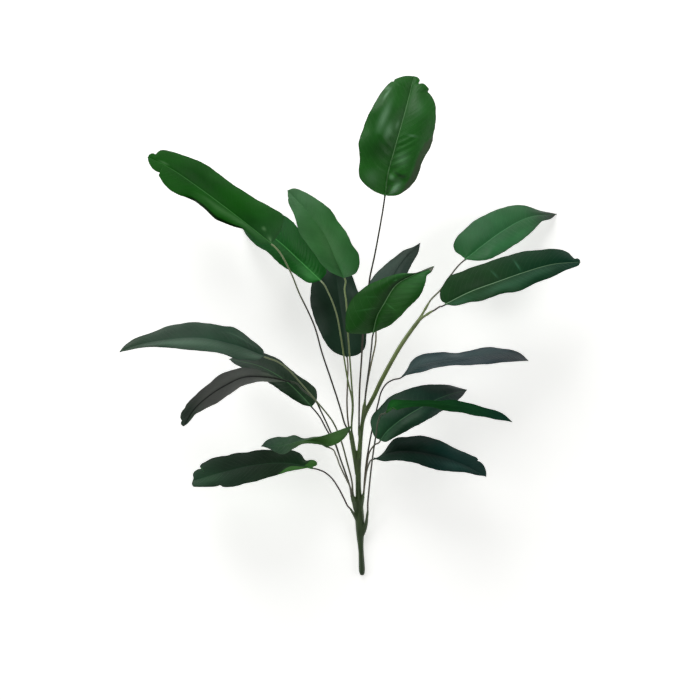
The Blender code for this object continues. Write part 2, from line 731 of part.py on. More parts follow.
def add_petiole(name, leaf, surface, start, start_along, collection):
    """A stalk from its socket to the end of its leaf's midrib."""
    centre = BLADE_COLUMNS // 2
    base = surface[0, centre]
    along = unit(surface[1, centre] - base)
    across = unit(surface[0, -1] - surface[0, 0])
    front = np.cross(across, along)
    side = -1.0 if leaf["face"] == "upper" else 1.0
    end = base + side * 0.5 * MIDRIB_THICKNESS * front - TOUCH_GAP * along
    route = [start, start + STRAIGHT_START * start_along]
    route += [at_pixel(*point) for point in leaf["petiole"]]
    route += [end - STRAIGHT_END * along]
    share = np.linspace(0.0, 1.0, PETIOLE_POINTS - 2)
    points = np.vstack((start, smooth_curve(route[1:], share), end))
    radii = np.linspace(PETIOLE_FOOT_RADIUS, PETIOLE_END_RADIUS, len(points))
    material = plain_material(name + "_olive", PETIOLE_COLOUR, STEM_ROUGHNESS)
    add_tube(name, points, radii, PETIOLE_SIDES, collection, material)


def add_main_stem(collection):
    """The stake, column and arms, joined into one solid with a flat where the stake lies."""
    material = plain_material("stem_green", STEM_COLOUR, STEM_ROUGHNESS)
    arms = bpy.data.collections.new("stem_arms")
    bpy.context.scene.collection.children.link(arms)
    meshes = []
    for name, arm in STEM_ARMS.items():
        path = np.array(arm["path"], float)
        tube = add_tube(name, at_pixel(*path[:, :3].T), path[:, 3] * MM, STEM_SIDES, arms, material)
        mesh = evaluated_mesh(tube)
        bm = bmesh.new()
        bm.from_mesh(mesh)
        bmesh.ops.remove_doubles(bm, verts=bm.verts, dist=WELD_DISTANCE)
        bm.to_mesh(mesh)
        bm.free()
        place = tube.matrix_world.copy()
        bpy.data.objects.remove(tube)
        solid = bpy.data.objects.new(name, mesh)
        solid.matrix_world = place
        arms.objects.link(solid)
        meshes.append(solid)
    stem = meshes[0]
    arms.objects.unlink(stem)
    stem.name = "main_stem"
    collection.objects.link(stem)
    union = stem.modifiers.new("arms", "BOOLEAN")
    union.operation = "UNION"
    union.operand_type = "COLLECTION"
    union.collection = arms
    joined = evaluated_mesh(stem)
    stem.modifiers.remove(union)
    flatten_underside(joined)
    joined.shade_smooth()
    joined.set_sharp_from_angle(angle=STEM_CREASE)
    stem.data = joined
    for solid in meshes[1:]:
        bpy.data.objects.remove(solid)
    bpy.data.collections.remove(arms)


def build():
    for thing in list(bpy.data.objects):
        bpy.data.objects.remove(thing)
    plant = bpy.data.collections.new("banana_plant")
    bpy.context.scene.collection.children.link(plant)
    add_main_stem(plant)
    starts = {}
    for arm in STEM_ARMS.values():
        for name, start, along in socket_ends(arm):
            starts[name] = (start, along)
    for index, (name, leaf) in enumerate(LEAVES.items()):
        surface = add_blade("leaf_" + name, leaf, RIPPLE_SHIFT * index, plant)
        add_petiole("petiole_" + name, leaf, surface, *starts[name], plant)


build()
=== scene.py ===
import math

import bpy
import numpy as np
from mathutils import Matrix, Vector


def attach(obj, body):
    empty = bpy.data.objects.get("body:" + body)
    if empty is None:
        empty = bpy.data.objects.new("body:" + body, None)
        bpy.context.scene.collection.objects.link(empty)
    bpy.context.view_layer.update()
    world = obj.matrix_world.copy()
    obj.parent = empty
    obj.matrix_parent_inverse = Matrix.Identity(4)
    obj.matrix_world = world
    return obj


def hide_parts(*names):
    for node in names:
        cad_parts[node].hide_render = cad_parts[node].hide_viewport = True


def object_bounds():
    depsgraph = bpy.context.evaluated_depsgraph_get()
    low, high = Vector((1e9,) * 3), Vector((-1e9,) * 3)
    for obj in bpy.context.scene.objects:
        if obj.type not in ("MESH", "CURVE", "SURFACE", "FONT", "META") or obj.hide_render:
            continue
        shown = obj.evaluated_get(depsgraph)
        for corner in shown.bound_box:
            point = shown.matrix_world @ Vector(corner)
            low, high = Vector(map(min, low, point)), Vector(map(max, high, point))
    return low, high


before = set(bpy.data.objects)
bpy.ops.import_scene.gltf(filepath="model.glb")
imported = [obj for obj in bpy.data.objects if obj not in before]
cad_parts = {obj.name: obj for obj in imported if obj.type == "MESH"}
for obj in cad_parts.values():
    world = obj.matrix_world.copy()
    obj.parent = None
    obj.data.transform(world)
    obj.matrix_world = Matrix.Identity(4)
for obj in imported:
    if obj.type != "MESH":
        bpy.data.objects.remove(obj)  # the solid parts, all riding on the body "root"
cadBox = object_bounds()
print("frame loaded with", len(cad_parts), "parts")

# Artificial banana plant, laid on its back: +Y runs from the stake to the top leaf, its front faces up.
mm = 0.001

# Where the picture is taken from: an eye above the plant that looks straight down.
# A length in the picture is a real length times focalPixels over the distance to the eye.
picture = {
    "eye": (-0.0032, -0.0295, 3.2),
    "centrePixel": 350.0,
    "focalPixels": 1713.0,
    "width": 700,
    "sensor": 36.0,  # mm
}


def atPixel(column, row, height):
    # the place seen at a pixel, at a height in mm: x and y spread from the eye's foot with the distance
    eyeX, eyeY, eyeZ = picture["eye"]
    z = np.asarray(height, float) * mm
    scale = (eyeZ - z) / picture["focalPixels"]
    x = eyeX + (np.asarray(column, float) - picture["centrePixel"]) * scale
    y = eyeY - (np.asarray(row, float) - picture["centrePixel"]) * scale
    return np.stack(np.broadcast_arrays(x, y, z), axis=-1)


def smoothCurve(points, shares):
    # cubic pieces through the points, with slopes from their neighbours, read at shares of the length
    points = np.asarray(points, float)
    steps = np.linalg.norm(np.diff(points, axis=0), axis=1)
    knots = np.concatenate(([0.0], np.cumsum(steps))) / steps.sum()
    slopes = np.gradient(points, knots, axis=0)
    shares = np.asarray(shares, float)
    low = np.clip(np.searchsorted(knots, shares, side="right") - 1, 0, len(knots) - 2)
    gap = (knots[low + 1] - knots[low])[:, None]
    t = (shares - knots[low])[:, None] / gap
    return (
        (2 * t**3 - 3 * t**2 + 1) * points[low]
        + (t**3 - 2 * t**2 + t) * gap * slopes[low]
        + (3 * t**2 - 2 * t**3) * points[low + 1]
        + (t**3 - t**2) * gap * slopes[low + 1]
    )


def unit(vectors):
    return vectors / np.maximum(np.linalg.norm(vectors, axis=-1, keepdims=True), 1e-12)


def smoothStep(low, high, value):
    # 0 below low, 1 above high, and a soft S between
    t = np.clip((value - low) / (high - low), 0.0, 1.0)
    return t * t * (3 - 2 * t)


def bump(value, low, high, soft):
    # 1 between low and high, fading to 0 over soft on both sides
    return smoothStep(low - soft, low, value) * (1 - smoothStep(high, high + soft, value))


def linear(hexColour):
    # an sRGB hex colour as linear red, green, blue, alpha
    values = [int(hexColour[i:i + 2], 16) / 255 for i in (0, 2, 4)]
    return [v / 12.92 if v <= 0.04045 else ((v + 0.055) / 1.055) ** 2.4 for v in values] + [1.0]


def addNode(tree, kind, values=None, links=None, **settings):
    # adds a shader node, sets its inputs and joins sockets to it; a node stands for its first output
    new = tree.nodes.new("ShaderNode" + kind)
    for key, value in settings.items():
        setattr(new, key, value)
    for key, value in (values or {}).items():
        new.inputs[key].default_value = value
    for key, source in (links or {}).items():
        socket = source if isinstance(source, bpy.types.NodeSocket) else source.outputs[0]
        tree.links.new(socket, new.inputs[key])
    return new


def colourRamp(tree, value, stops, low=0.0, high=1.0, first=None):
    # colours set evenly from low to high; "first" is a colour at 0 below them, and the last one is at 1
    ramp = addNode(tree, "ValToRGB", links={"Fac": value})
    elements = ramp.color_ramp.elements
    elements[0].color = linear(first or stops[0])
    elements[1].color = linear(stops[-1])
    for i, stop in enumerate(stops[:-1]):
        if i > 0 or first:
            elements.new(low + (high - low) * i / (len(stops) - 1)).color = linear(stop)
    return ramp


def tint(tree, amount, colour, socket):
    # mixes a colour over a socket's colour by an amount
    mix = addNode(tree, "Mix", links={0: amount, 6: socket}, data_type="RGBA")
    mix.inputs[7].default_value = linear(colour)
    return mix.outputs[2]


def newMaterial(name):
    material = bpy.data.materials.new(name)
    material.use_nodes = True
    return material, material.node_tree, material.node_tree.nodes["Principled BSDF"]


def newPiece(name, points, faces, materials, faceMaterials=None, maps=None, values=None, crease=45):
    # puts arrays of points and faces into a mesh, with its UV maps and point values
    mesh = bpy.data.meshes.new(name)
    mesh.from_pydata(points.tolist(), [], faces)
    corner = np.empty(len(mesh.loops), np.int32)
    mesh.loops.foreach_get("vertex_index", corner)
    for key, grid in (maps or {}).items():
        mesh.uv_layers.new(name=key).data.foreach_set("uv", grid[corner].astype(np.float32).ravel())
    for key, column in (values or {}).items():
        mesh.attributes.new(key, "FLOAT", "POINT").data.foreach_set("value", column.astype(np.float32))
    for material in materials:
        mesh.materials.append(material)
    if faceMaterials is not None:
        mesh.polygons.foreach_set("material_index", faceMaterials.astype(np.int32))
    mesh.shade_smooth()
    mesh.set_sharp_from_angle(angle=math.radians(crease))
    piece = bpy.data.objects.new(name, mesh)
    bpy.context.scene.collection.objects.link(piece)
    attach(piece, "root")
    return piece


# Every leaf, drawn at pixels of the picture, which is 700 x 700.
# "midrib" runs from base to tip as (column, row, height in mm). "left" and "right" are the edges between
# base and tip as (column, row), on the left and right hand of someone who looks from base to tip.
# "tilt" is how far the left and the right half rise for each unit of their width, "camber" how far a half
# bulges, and "ripple" the edge's wave as (height in mm, number of waves). "nicks" are small tears as
# (side, share of the length, depth), none if left out. "face" is the side seen from the front, the upper
# one if left out. "petiole" runs from the stem to the leaf as (column, row, height in mm).
leafShapes = {
    "top": {
        "midrib": ((385, 196, 206), (388, 173, 222), (394, 151, 232), (405, 112, 232), (414, 76, 204)),
        "left": (
            (372, 190), (360, 178.6), (359.5, 160), (359, 141), (362, 131), (368, 116), (376, 101),
            (383, 90), (393, 80.5), (405, 75.8),
        ),
        "right": (
            (398, 195), (406, 189), (414, 180.5), (421, 162.4), (428, 149), (433, 136.5), (436, 112),
            (435.2, 104), (432.6, 97.6), (429.8, 93.4), (427.9, 91.5), (429, 89.6), (427, 86.6),
            (423.4, 83.9), (418.4, 83.7), (419.8, 80.6), (417.6, 77.2),
        ),
        "tilt": (0.15, -0.1), "camber": 0.14, "ripple": (2.5, 3.5), "nicks": (("left", 0.86, 0.07),),
        "petiole": (
            (359, 425, 78), (359.8, 385, 104), (361.7, 356.5, 122), (363, 334.5, 136), (366.5, 305, 152),
            (370, 277, 166), (374.5, 256, 178), (378.5, 235, 189),
        ),
    },
    "upper_left_long": {
        "midrib": (
            (271.6, 243.5, 172), (238, 217, 180), (202, 190, 166), (168, 167, 134), (147.7, 157, 108),
        ),
        "left": (
            (263, 244), (251.5, 236), (243.5, 229.4), (229, 224.7), (218, 220), (204.6, 208.7),
            (192.6, 200), (178, 194.6), (168.5, 188.6), (163.5, 183.5), (160.5, 178.6), (158.5, 174.6),
            (159.8, 172.7), (157, 171.6), (153.5, 169.5), (150.4, 165.8), (148.2, 161),
        ),
        "right": (
            (277, 237), (282, 226), (283.7, 216), (271.6, 208), (255.5, 198.6), (239.5, 188.6),
            (220.7, 175), (208.7, 165.8), (194, 159), (179, 153.8), (170, 151.3), (164.5, 150),
            (160, 150.4), (157.3, 152.4), (155.6, 154.3), (153.5, 153.4), (150.3, 153.8), (148.4, 155.6),
        ),
        "tilt": (0.75, -0.7), "camber": 0.12, "ripple": (2.0, 4.0),
        "petiole": (
            (344.8, 424, 76), (341.5, 412.5, 85), (338.2, 401.5, 92), (329.7, 375.7, 108),
            (322, 352.7, 121), (314.4, 326, 134), (307.7, 310.6, 143), (300, 295, 151), (290, 271, 162),
        ),
    },
    "upper_left_behind": {
        "midrib": ((320.5, 280.3, 112), (299, 260, 88), (277, 240, 57), (256, 226, 26), (238, 217, 1.2)),
        "left": (
            (309, 283), (299, 277), (290.4, 271), (279.6, 264), (269, 253.5), (253, 242.8),
            (243.5, 230.5),
        ),
        "right": (
            (326.5, 272), (323.5, 263), (317, 253), (310, 242.8), (300.4, 230.5), (286, 216.5),
            (268, 208), (250, 208),
        ),
        "tilt": (0.35, -0.25), "camber": 0.1, "ripple": (1.5, 3.0),
        "petiole": (
            (352, 399.6, 80), (347.8, 380.4, 86), (345, 364, 90), (341, 337.4, 97), (336.4, 313.5, 103),
            (328.7, 293.4, 109),
        ),
    },
    "upper_left_front": {
        "midrib": (
            (344, 278, 182), (335.4, 258.8, 200), (324.5, 234.5, 213), (306, 210, 212),
            (287.5, 190.5, 196),
        ),
        "left": (
            (337.9, 275.7), (328, 271), (321, 263.6), (313.5, 253), (306.4, 243), (299, 232),
            (295.4, 217.6), (288.5, 203),
        ),
        "right": (
            (356, 273), (359.7, 261), (358.5, 254), (352.4, 245.4), (348.8, 237), (338, 221),
            (330.6, 210), (315, 198), (305, 192), (292, 188.5),
        ),
        "tilt": (-0.55, 0.7), "camber": 0.1, "ripple": (2.0, 3.0), "nicks": (("left", 0.93, 0.14),),
        "petiole": (
            (353, 404, 92), (351.7, 385, 104), (349.7, 356.5, 123), (347.8, 331.7, 144), (346, 300, 167),
            (344.6, 288.5, 176),
        ),
    },
    "centre_back": {
        "midrib": ((347, 357, 54), (343, 325, 54), (338, 290, 44), (335, 258, 28)),
        "left": (
            (339, 354.5), (330.6, 349.6), (323.3, 338.7), (317.3, 326.6), (312.4, 313), (310, 296),
            (311.8, 284), (321, 267),
        ),
        "right": (
            (357, 355), (364.5, 348.4), (366.3, 334), (365.5, 315), (361.6, 300), (357, 288),
            (351, 273.4), (343.4, 262.4),
        ),
        "tilt": (-0.15, 0.1), "camber": 0.1, "ripple": (2.0, 3.0),
        "petiole": ((348.3, 423.5, 64), (347, 404, 62), (347.4, 385, 58)),
    },
    "centre_front": {
        "midrib": (
            (373, 333, 225), (377, 316.4, 243), (384, 303.7, 260), (398, 283.4, 288), (412, 275.7, 304),
            (434, 266.6, 318),
        ),
        "left": (
            (360, 334), (346, 331), (345.5, 322.7), (347.3, 308.7), (352.5, 298), (359, 292),
            (369.4, 284), (378.5, 280), (390, 275.7), (405, 273), (415, 273), (425, 270.5),
        ),
        "right": (
            (380.6, 329.7), (389.7, 325.5), (402.3, 314.3), (411, 305), (417.8, 298.8), (421.5, 293),
            (425.5, 282.7), (427, 275.7), (431.5, 272),
        ),
        "tilt": (-0.35, 0.55), "camber": 0.12, "ripple": (2.0, 3.0),
        "petiole": ((365.8, 392, 114), (367.8, 377, 138), (370, 360, 166), (371.7, 345, 197)),
    },
    "centre_behind": {
        "midrib": ((378, 322, 132), (386, 292, 119), (402, 262, 95), (420, 243.4, 68)),
        "left": (
            (370, 314), (366.5, 300), (368.7, 283.4), (374.3, 276.4), (384, 266), (396.7, 256),
            (405, 249.7), (414.3, 246.4),
        ),
        "right": ((390, 314), (399, 300), (404, 286), (408, 272), (411.5, 265), (415, 259), (418.5, 252)),
        "tilt": (-0.6, 0.5), "camber": 0.08, "ripple": (1.5, 2.5), "face": "under",
        "petiole": ((366.2, 391, 98), (368.6, 376, 107), (372, 360, 116), (375.6, 343, 125)),
    },
    "right_upper": {
        "midrib": (
            (465, 259.3, 88), (487, 242, 78), (501.4, 231.7, 65), (530, 217, 30), (556.8, 214, 1.3),
        ),
        "left": (
            (461.6, 256), (454.5, 250.5), (453, 246), (455, 240), (462.7, 230.7), (471.8, 222.6),
            (486, 214.4), (501.4, 208.3), (521, 204.9), (538, 209.8), (550, 212.4),
        ),
        "right": (
            (477, 260.8), (487, 259.8), (497.3, 255.7), (511.6, 247), (525, 238), (537, 226.6),
            (542, 221.5), (551, 218.8),
        ),
        "tilt": (-0.35, 0.6), "camber": 0.1, "ripple": (1.5, 3.0),
        "petiole": ((430.4, 300.4, 122), (440, 290.5, 112), (450.4, 275.6, 99)),
    },
    "right_second": {
        "midrib": (
            (444.8, 304.2, 165), (470.8, 291.4, 173), (497.3, 281.7, 171), (522, 273, 161),
            (552, 264.4, 141), (580.5, 261.8, 122),
        ),
        "left": (
            (441, 300), (440.2, 291), (443.3, 284.8), (450.4, 275.6), (460.6, 271.5), (474, 266.4),
            (495.3, 259.3), (521.8, 252), (538, 250), (556, 249.2), (564, 250.3), (569, 252.7),
            (572.5, 256.6), (574.8, 258.6), (577.5, 258.3), (579.8, 259.7),
        ),
        "right": (
            (454.5, 305.7), (470.8, 302), (480, 301.4), (491, 297.3), (501.4, 294), (522, 290),
            (538, 282), (547.3, 279), (566.7, 270), (574.5, 267.2), (579.2, 264.8),
        ),
        "tilt": (-0.85, 0.95), "camber": 0.1, "ripple": (1.5, 4.0),
        "petiole": ((433.6, 310.6, 143), (440, 306.6, 156)),
    },
    "right_middle": {
        "midrib": (
            (402, 376, 70), (420, 365, 84), (450, 360, 93), (480, 356, 88), (510, 354.5, 74),
            (528.5, 360.5, 60),
        ),
        "left": (
            (406, 370.8), (411.6, 361), (422.5, 354.5), (441, 352.3), (460.4, 352.3), (469, 350.7),
            (480, 347.5), (487.5, 347), (500.5, 348), (511.4, 350), (521.5, 354),
        ),
        "right": (
            (413.8, 373.3), (425.7, 370.6), (434.4, 368), (443, 366.4), (473.4, 364.8), (495, 363),
            (511.4, 361.2), (521, 361),
        ),
        "tilt": (-2.1, 2.2), "camber": 0.0, "ripple": (3.0, 3.0),
        "petiole": (
            (364.4, 482, 33), (367, 458, 46), (369, 446, 50), (371.5, 432.6, 52), (374.6, 418, 53),
            (378.4, 402.4, 55), (381.6, 391, 58), (387, 383.3, 62), (394, 379.5, 66),
        ),
    },
    "right_oval": {
        "midrib": (
            (380, 440.5, 104), (386.7, 431.5, 110), (397, 422.5, 113), (420, 408, 103), (445, 396, 76),
            (467, 389.8, 46),
        ),
        "left": (
            (374.8, 437), (371.5, 429.3), (370.2, 422.8), (372.6, 415), (377, 410), (384.5, 402),
            (391, 396.3), (403, 390.8), (417, 386.5), (430, 384.3), (441, 384.3), (452, 385.4),
        ),
        "right": (
            (384.5, 442), (394.3, 437.5), (406, 431.5), (419, 424.4), (432, 417.4), (444, 409.8),
            (458, 400), (463.7, 394.5),
        ),
        "tilt": (-0.4, 0.5), "camber": 0.1, "ripple": (2.0, 3.0),
        "petiole": ((364.6, 482, 53), (367, 464, 70), (369, 453.5, 80), (372, 448, 90), (376, 444, 98)),
    },
    "right_narrow": {
        "midrib": (
            (386, 411.5, 172), (397, 404.5, 184), (425, 403, 202), (457, 405.6, 206), (484, 411.5, 198),
            (512, 421.5, 184),
        ),
        "left": (
            (391, 400), (403, 400), (419, 400), (435.5, 400.4), (457, 400.6), (468, 402.8), (482, 407),
            (496, 410.4), (505, 415),
        ),
        "right": (
            (389, 412.6), (403, 408), (417, 406.6), (430, 406), (443, 409.8), (457, 411.6),
            (473.4, 414.9), (484, 417), (500.5, 420),
        ),
        "tilt": (-3.6, 3.6), "camber": 0.0, "ripple": (2.0, 3.0),
        "petiole": (
            (367.8, 503, 46), (368.8, 492, 61), (370.6, 473.8, 90), (374.2, 446, 126), (376, 435, 140),
            (378.5, 420.4, 158), (382, 414, 167),
        ),
    },
    "right_bottom": {
        "midrib": (
            (373.7, 458.6, 80), (395, 451.5, 95), (430, 454, 105), (460, 463, 98), (486.3, 476.3, 84),
        ),
        "left": (
            (378, 457), (384.5, 451), (389, 444.5), (394.3, 439), (408.4, 436.4), (428, 436.4),
            (435.5, 438.5), (447.4, 444), (462.6, 451.5), (471, 455.3), (477.6, 458.6), (478.3, 459.8),
            (476.8, 460.3), (480.3, 461.8), (483.3, 464.9), (485.3, 469.2), (486.4, 473.6),
        ),
        "right": (
            (384.5, 461.3), (391, 460.5), (406, 461.3), (415, 463), (425.7, 466.7), (432, 468.4),
            (451.7, 471.6), (462.6, 472), (477.8, 475),
        ),
        "tilt": (-1.1, 1.1), "camber": 0.06, "ripple": (2.0, 3.0),
        "petiole": ((364.8, 484, 44), (367.2, 469, 56), (369.6, 462.5, 68)),
    },
    "left_middle": {
        "midrib": (
            (264, 356, 182), (235, 345, 197), (200, 338, 201), (165, 340, 188), (135, 346, 168),
            (119.6, 351.6, 158),
        ),
        "left": (
            (259, 359.6), (247, 359.6), (236, 359), (229.3, 356.3), (218, 352.8), (197, 350.4),
            (173, 348), (153.5, 347), (138, 348.2), (128, 350.4),
        ),
        "right": (
            (264, 352), (258.7, 345), (250, 338), (241, 331.5), (233.5, 326.8), (222, 326), (208, 323.2),
            (181.6, 323.3), (170, 325.4), (157.7, 329.6), (145, 334.6), (131, 340.2), (124, 346),
        ),
        "tilt": (1.6, -1.3), "camber": 0.06, "ripple": (2.0, 4.0),
        "petiole": (
            (351.8, 481, 57), (347, 462, 82), (342, 443.5, 100), (337.5, 431.3, 115),
            (332.5, 421.3, 125), (325, 411.3, 136), (317.5, 402.5, 145), (300, 382.4, 161),
            (288, 369.4, 170), (276, 361, 177),
        ),
    },
    "left_behind": {
        "midrib": ((312, 406.8, 100), (301, 395, 97), (286, 381, 93), (262, 367, 83), (229, 359, 66)),
        "left": (
            (303, 405), (295, 400.5), (278.4, 389.3), (267, 381.6), (254, 373.5), (242, 367.5),
            (234, 363.5),
        ),
        "right": (
            (316.5, 400), (317, 394), (316, 388.6), (311, 384), (299.4, 376), (289.6, 368), (278.4, 359),
            (264, 353), (245, 354),
        ),
        "tilt": (0.45, -0.8), "camber": 0.08, "ripple": (1.5, 3.0),
        "petiole": (
            (350, 487.5, 35), (345.8, 473.8, 50), (340.4, 459, 66), (334.8, 443.5, 78), (326.8, 430, 90),
            (319, 415.8, 97),
        ),
    },
    "left_turned": {
        "midrib": (
            (291, 381, 156), (264, 376, 166), (242, 377, 171), (225, 385, 168), (208, 396, 158),
            (194, 409, 145), (183.5, 426, 130),
        ),
        "left": (
            (280, 381.7), (265.7, 381.7), (254.5, 382.3), (240.5, 387), (229.3, 394), (218, 402),
            (208, 406.8), (200, 411.6), (195.5, 413.8), (190.5, 420), (187, 423.8),
        ),
        "right": (
            (281, 377.8), (271.4, 374.5), (261.5, 370.3), (250.3, 367.8), (242, 367.8), (230.7, 370.3),
            (218, 376), (208, 384.4), (196, 394.4), (189.8, 400), (185.9, 405.2), (184.6, 408.2),
            (182, 411), (180.4, 414.8), (180.3, 418.2), (181.6, 420.2), (180.7, 422.6), (181.5, 425),
        ),
        "tilt": (-1.5, 1.4), "camber": 0.06, "ripple": (2.0, 4.0), "face": "under",
        "petiole": (
            (350.6, 488.5, 41), (345.8, 474, 58), (340.8, 460, 76), (335.4, 443.5, 90),
            (329.7, 430, 104), (322, 413.5, 121), (314.8, 399.8, 134), (304, 391, 146),
        ),
    },
    "left_twisted": {
        "midrib": (
            (329, 447, 225), (318, 442.4, 238), (303.6, 440.6, 247), (285, 445, 240), (261.3, 446, 216),
        ),
        "left": (
            (321.8, 444.9), (313, 443.8), (302.4, 443.8), (292.7, 449), (286.6, 453), (280.6, 453.8),
            (274.5, 451.4), (268.5, 448.6),
        ),
        "right": (
            (337.5, 443.5), (344.8, 438), (348.8, 432), (351, 426.3), (345, 427.9), (337.5, 431.4),
            (327.8, 436), (313.3, 436.8), (303.6, 438.4), (294, 435.4), (286.6, 437), (277, 436.8),
            (266, 440.6),
        ),
        "tilt": (1.2, -0.5), "camber": 0.05, "ripple": (1.5, 3.0),
        "petiole": (
            (350.8, 489.5, 52), (347, 480.4, 84), (342.8, 472, 116), (339.6, 465, 146),
            (335.8, 455, 192),
        ),
    },
    "left_bottom": {
        "midrib": (
            (313, 467.7, 114), (292, 463.5, 123), (255, 465, 130), (225, 471.5, 122), (192.4, 481, 106),
        ),
        "left": (
            (308.4, 467.9), (298.8, 470), (283, 473.5), (264.8, 478.6), (248, 483), (232, 486.3),
            (222.5, 486.6), (219.8, 485.1), (217.8, 485.7), (214, 486.3), (205, 486.8), (197, 486.8),
            (192.8, 486), (191.8, 484),
        ),
        "right": (
            (317.3, 464), (316.6, 461.8), (311.5, 459.4), (306, 459.8), (301, 453.8), (294, 450.7),
            (276, 450.2), (257.6, 450), (245.4, 452.6), (237, 453), (227, 455.6), (219, 456.3),
            (212, 458.2), (205.5, 461.8), (200.3, 465), (199.6, 466.6), (202, 467.8), (197.5, 469),
            (194.3, 471.2), (192.8, 474.6), (193.4, 478.2),
        ),
        "tilt": (1.2, -1.1), "camber": 0.06, "ripple": (2.0, 4.0),
        "petiole": (
            (347.4, 505.6, 44), (344, 498.6, 56), (337.5, 486.5, 78), (331.5, 478, 94),
            (323, 471.4, 107),
        ),
    },
}


# How fine the leaves are, and the features that all of them share. Lengths in mm.
leafMake = {
    "rows": 150,
    "columns": 45,  # from the left edge to the right one
    "crowding": 0.6,  # how far the rows gather towards base and tip
    "rowGap": 0.0009,  # rows closer than this share of the length are left out
    "gather": 1.6,  # how far the columns gather towards the midrib
    "blade": 0.7,
    "ridge": 2.7,  # height of the midrib on the underside, at the base
    "ridgeWidth": 2.2,
    "ridgeTaper": 0.65,
    "baseWidth": 2.4,
    "tipWidth": 1.2,
    "baseBlend": 0.02,  # share of the length in which the outline closes to those widths
    "tipBlend": 0.008,
    "groove": 0.3,  # depth of the furrow along the midrib on the upper side
    "pleat": 0.15,  # height of the fine folds along the side veins
    "pleatSpacing": 9.0,
    "buckle": 0.9,  # slow unevenness of the blade
    "edgeUneven": 0.35,
    "veinLean": 0.55,  # how far a side vein leans to the tip
    "veinBend": 0.45,  # and how much more it does so at the edge
    "nickLength": 0.012,
    "nickReach": (0.7, 1.3),  # of that length, towards the base and towards the tip
    "edgeWaves": (6.3, 14.7),  # uneven stretches along an edge, and finer ones
    "furrowWidths": (1.7, 0.7),  # of the furrow and of the raised line in it
    "bucklePitch": (71.0, 113.0),
    "innerFrom": 0.12,  # shares of the length between which the relief is full
    "innerTo": 0.9,
}

plasticIOR = 1.51  # polyethylene


def leafShares(shape):
    # places along the leaf that have a row of points, with more of them round each nick
    even = np.linspace(0.0, 1.0, leafMake["rows"])
    crowded = 0.5 - 0.5 * np.cos(math.pi * even)
    shares = (1 - leafMake["crowding"]) * even + leafMake["crowding"] * crowded
    for _, place, _ in shape.get("nicks", ()):
        shares = np.concatenate((shares, place + np.linspace(-1.5, 1.5, 13) * leafMake["nickLength"]))
    shares = np.sort(shares[(shares >= 0) & (shares <= 1)])
    apart = np.diff(shares, prepend=-1.0) > leafMake["rowGap"]
    apart[-1] = True
    return shares[apart]


def leafEdge(shape, side, shares, rib, along):
    # the outline read at the shares, raised by the tilt times its distance from the midrib, nicked and
    # made a little uneven; near both ends it closes in square to the midrib
    sign, tilt = (-1.0, shape["tilt"][0]) if side == "left" else (1.0, shape["tilt"][1])
    ends = [shape["midrib"][0][:2], shape["midrib"][-1][:2]]
    pixels = smoothCurve([ends[0], *shape[side], ends[1]], shares)
    height = rib[:, 2]
    for _ in range(4):
        edge = atPixel(pixels[:, 0], pixels[:, 1], height / mm)
        height = rib[:, 2] + tilt * np.linalg.norm((edge - rib)[:, :2], axis=1)
    flat = unit(np.stack((along[:, 1], -along[:, 0], np.zeros(len(along))), axis=1)) * sign
    flat[:, 2] = tilt
    square = unit(flat - np.sum(flat * along, axis=1, keepdims=True) * along)
    atBase = (1 - smoothStep(0.0, leafMake["baseBlend"], shares))[:, None]
    atTip = smoothStep(1 - leafMake["tipBlend"], 1.0, shares)[:, None]
    edge = edge * (1 - atBase) + (rib + leafMake["baseWidth"] * mm * square) * atBase
    edge = edge * (1 - atTip) + (rib + leafMake["tipWidth"] * mm * square) * atTip
    reach = edge - rib
    phase = 3.1 * sum(map(ord, side)) + 40 * shape["midrib"][0][0]
    slowWaves, fastWaves = leafMake["edgeWaves"]
    uneven = np.sin(2 * math.pi * slowWaves * shares + phase)
    uneven += 0.6 * np.sin(2 * math.pi * fastWaves * shares + 2 * phase)
    uneven *= leafMake["edgeUneven"] * mm * np.sin(math.pi * shares)
    reach += unit(reach) * uneven[:, None]
    for nickSide, place, depth in shape.get("nicks", ()):
        if nickSide == side:
            away = (shares - place) / leafMake["nickLength"]
            before, after = leafMake["nickReach"]
            cut = np.clip(1 - np.abs(away) / np.where(away > 0, after, before), 0, 1) ** 0.8
            reach *= 1 - (depth * cut)[:, None]
    return reach


def onSide(v, side):
    # 1 on the left or the right half of a leaf, as a row over its columns
    return ((v < 0) if side == "left" else (v > 0))[None, :]


def sheetNormals(surface, s, v):
    # the cross product of the slopes over v and over s
    return unit(np.cross(np.gradient(surface, v, axis=1), np.gradient(surface, s, axis=0)))


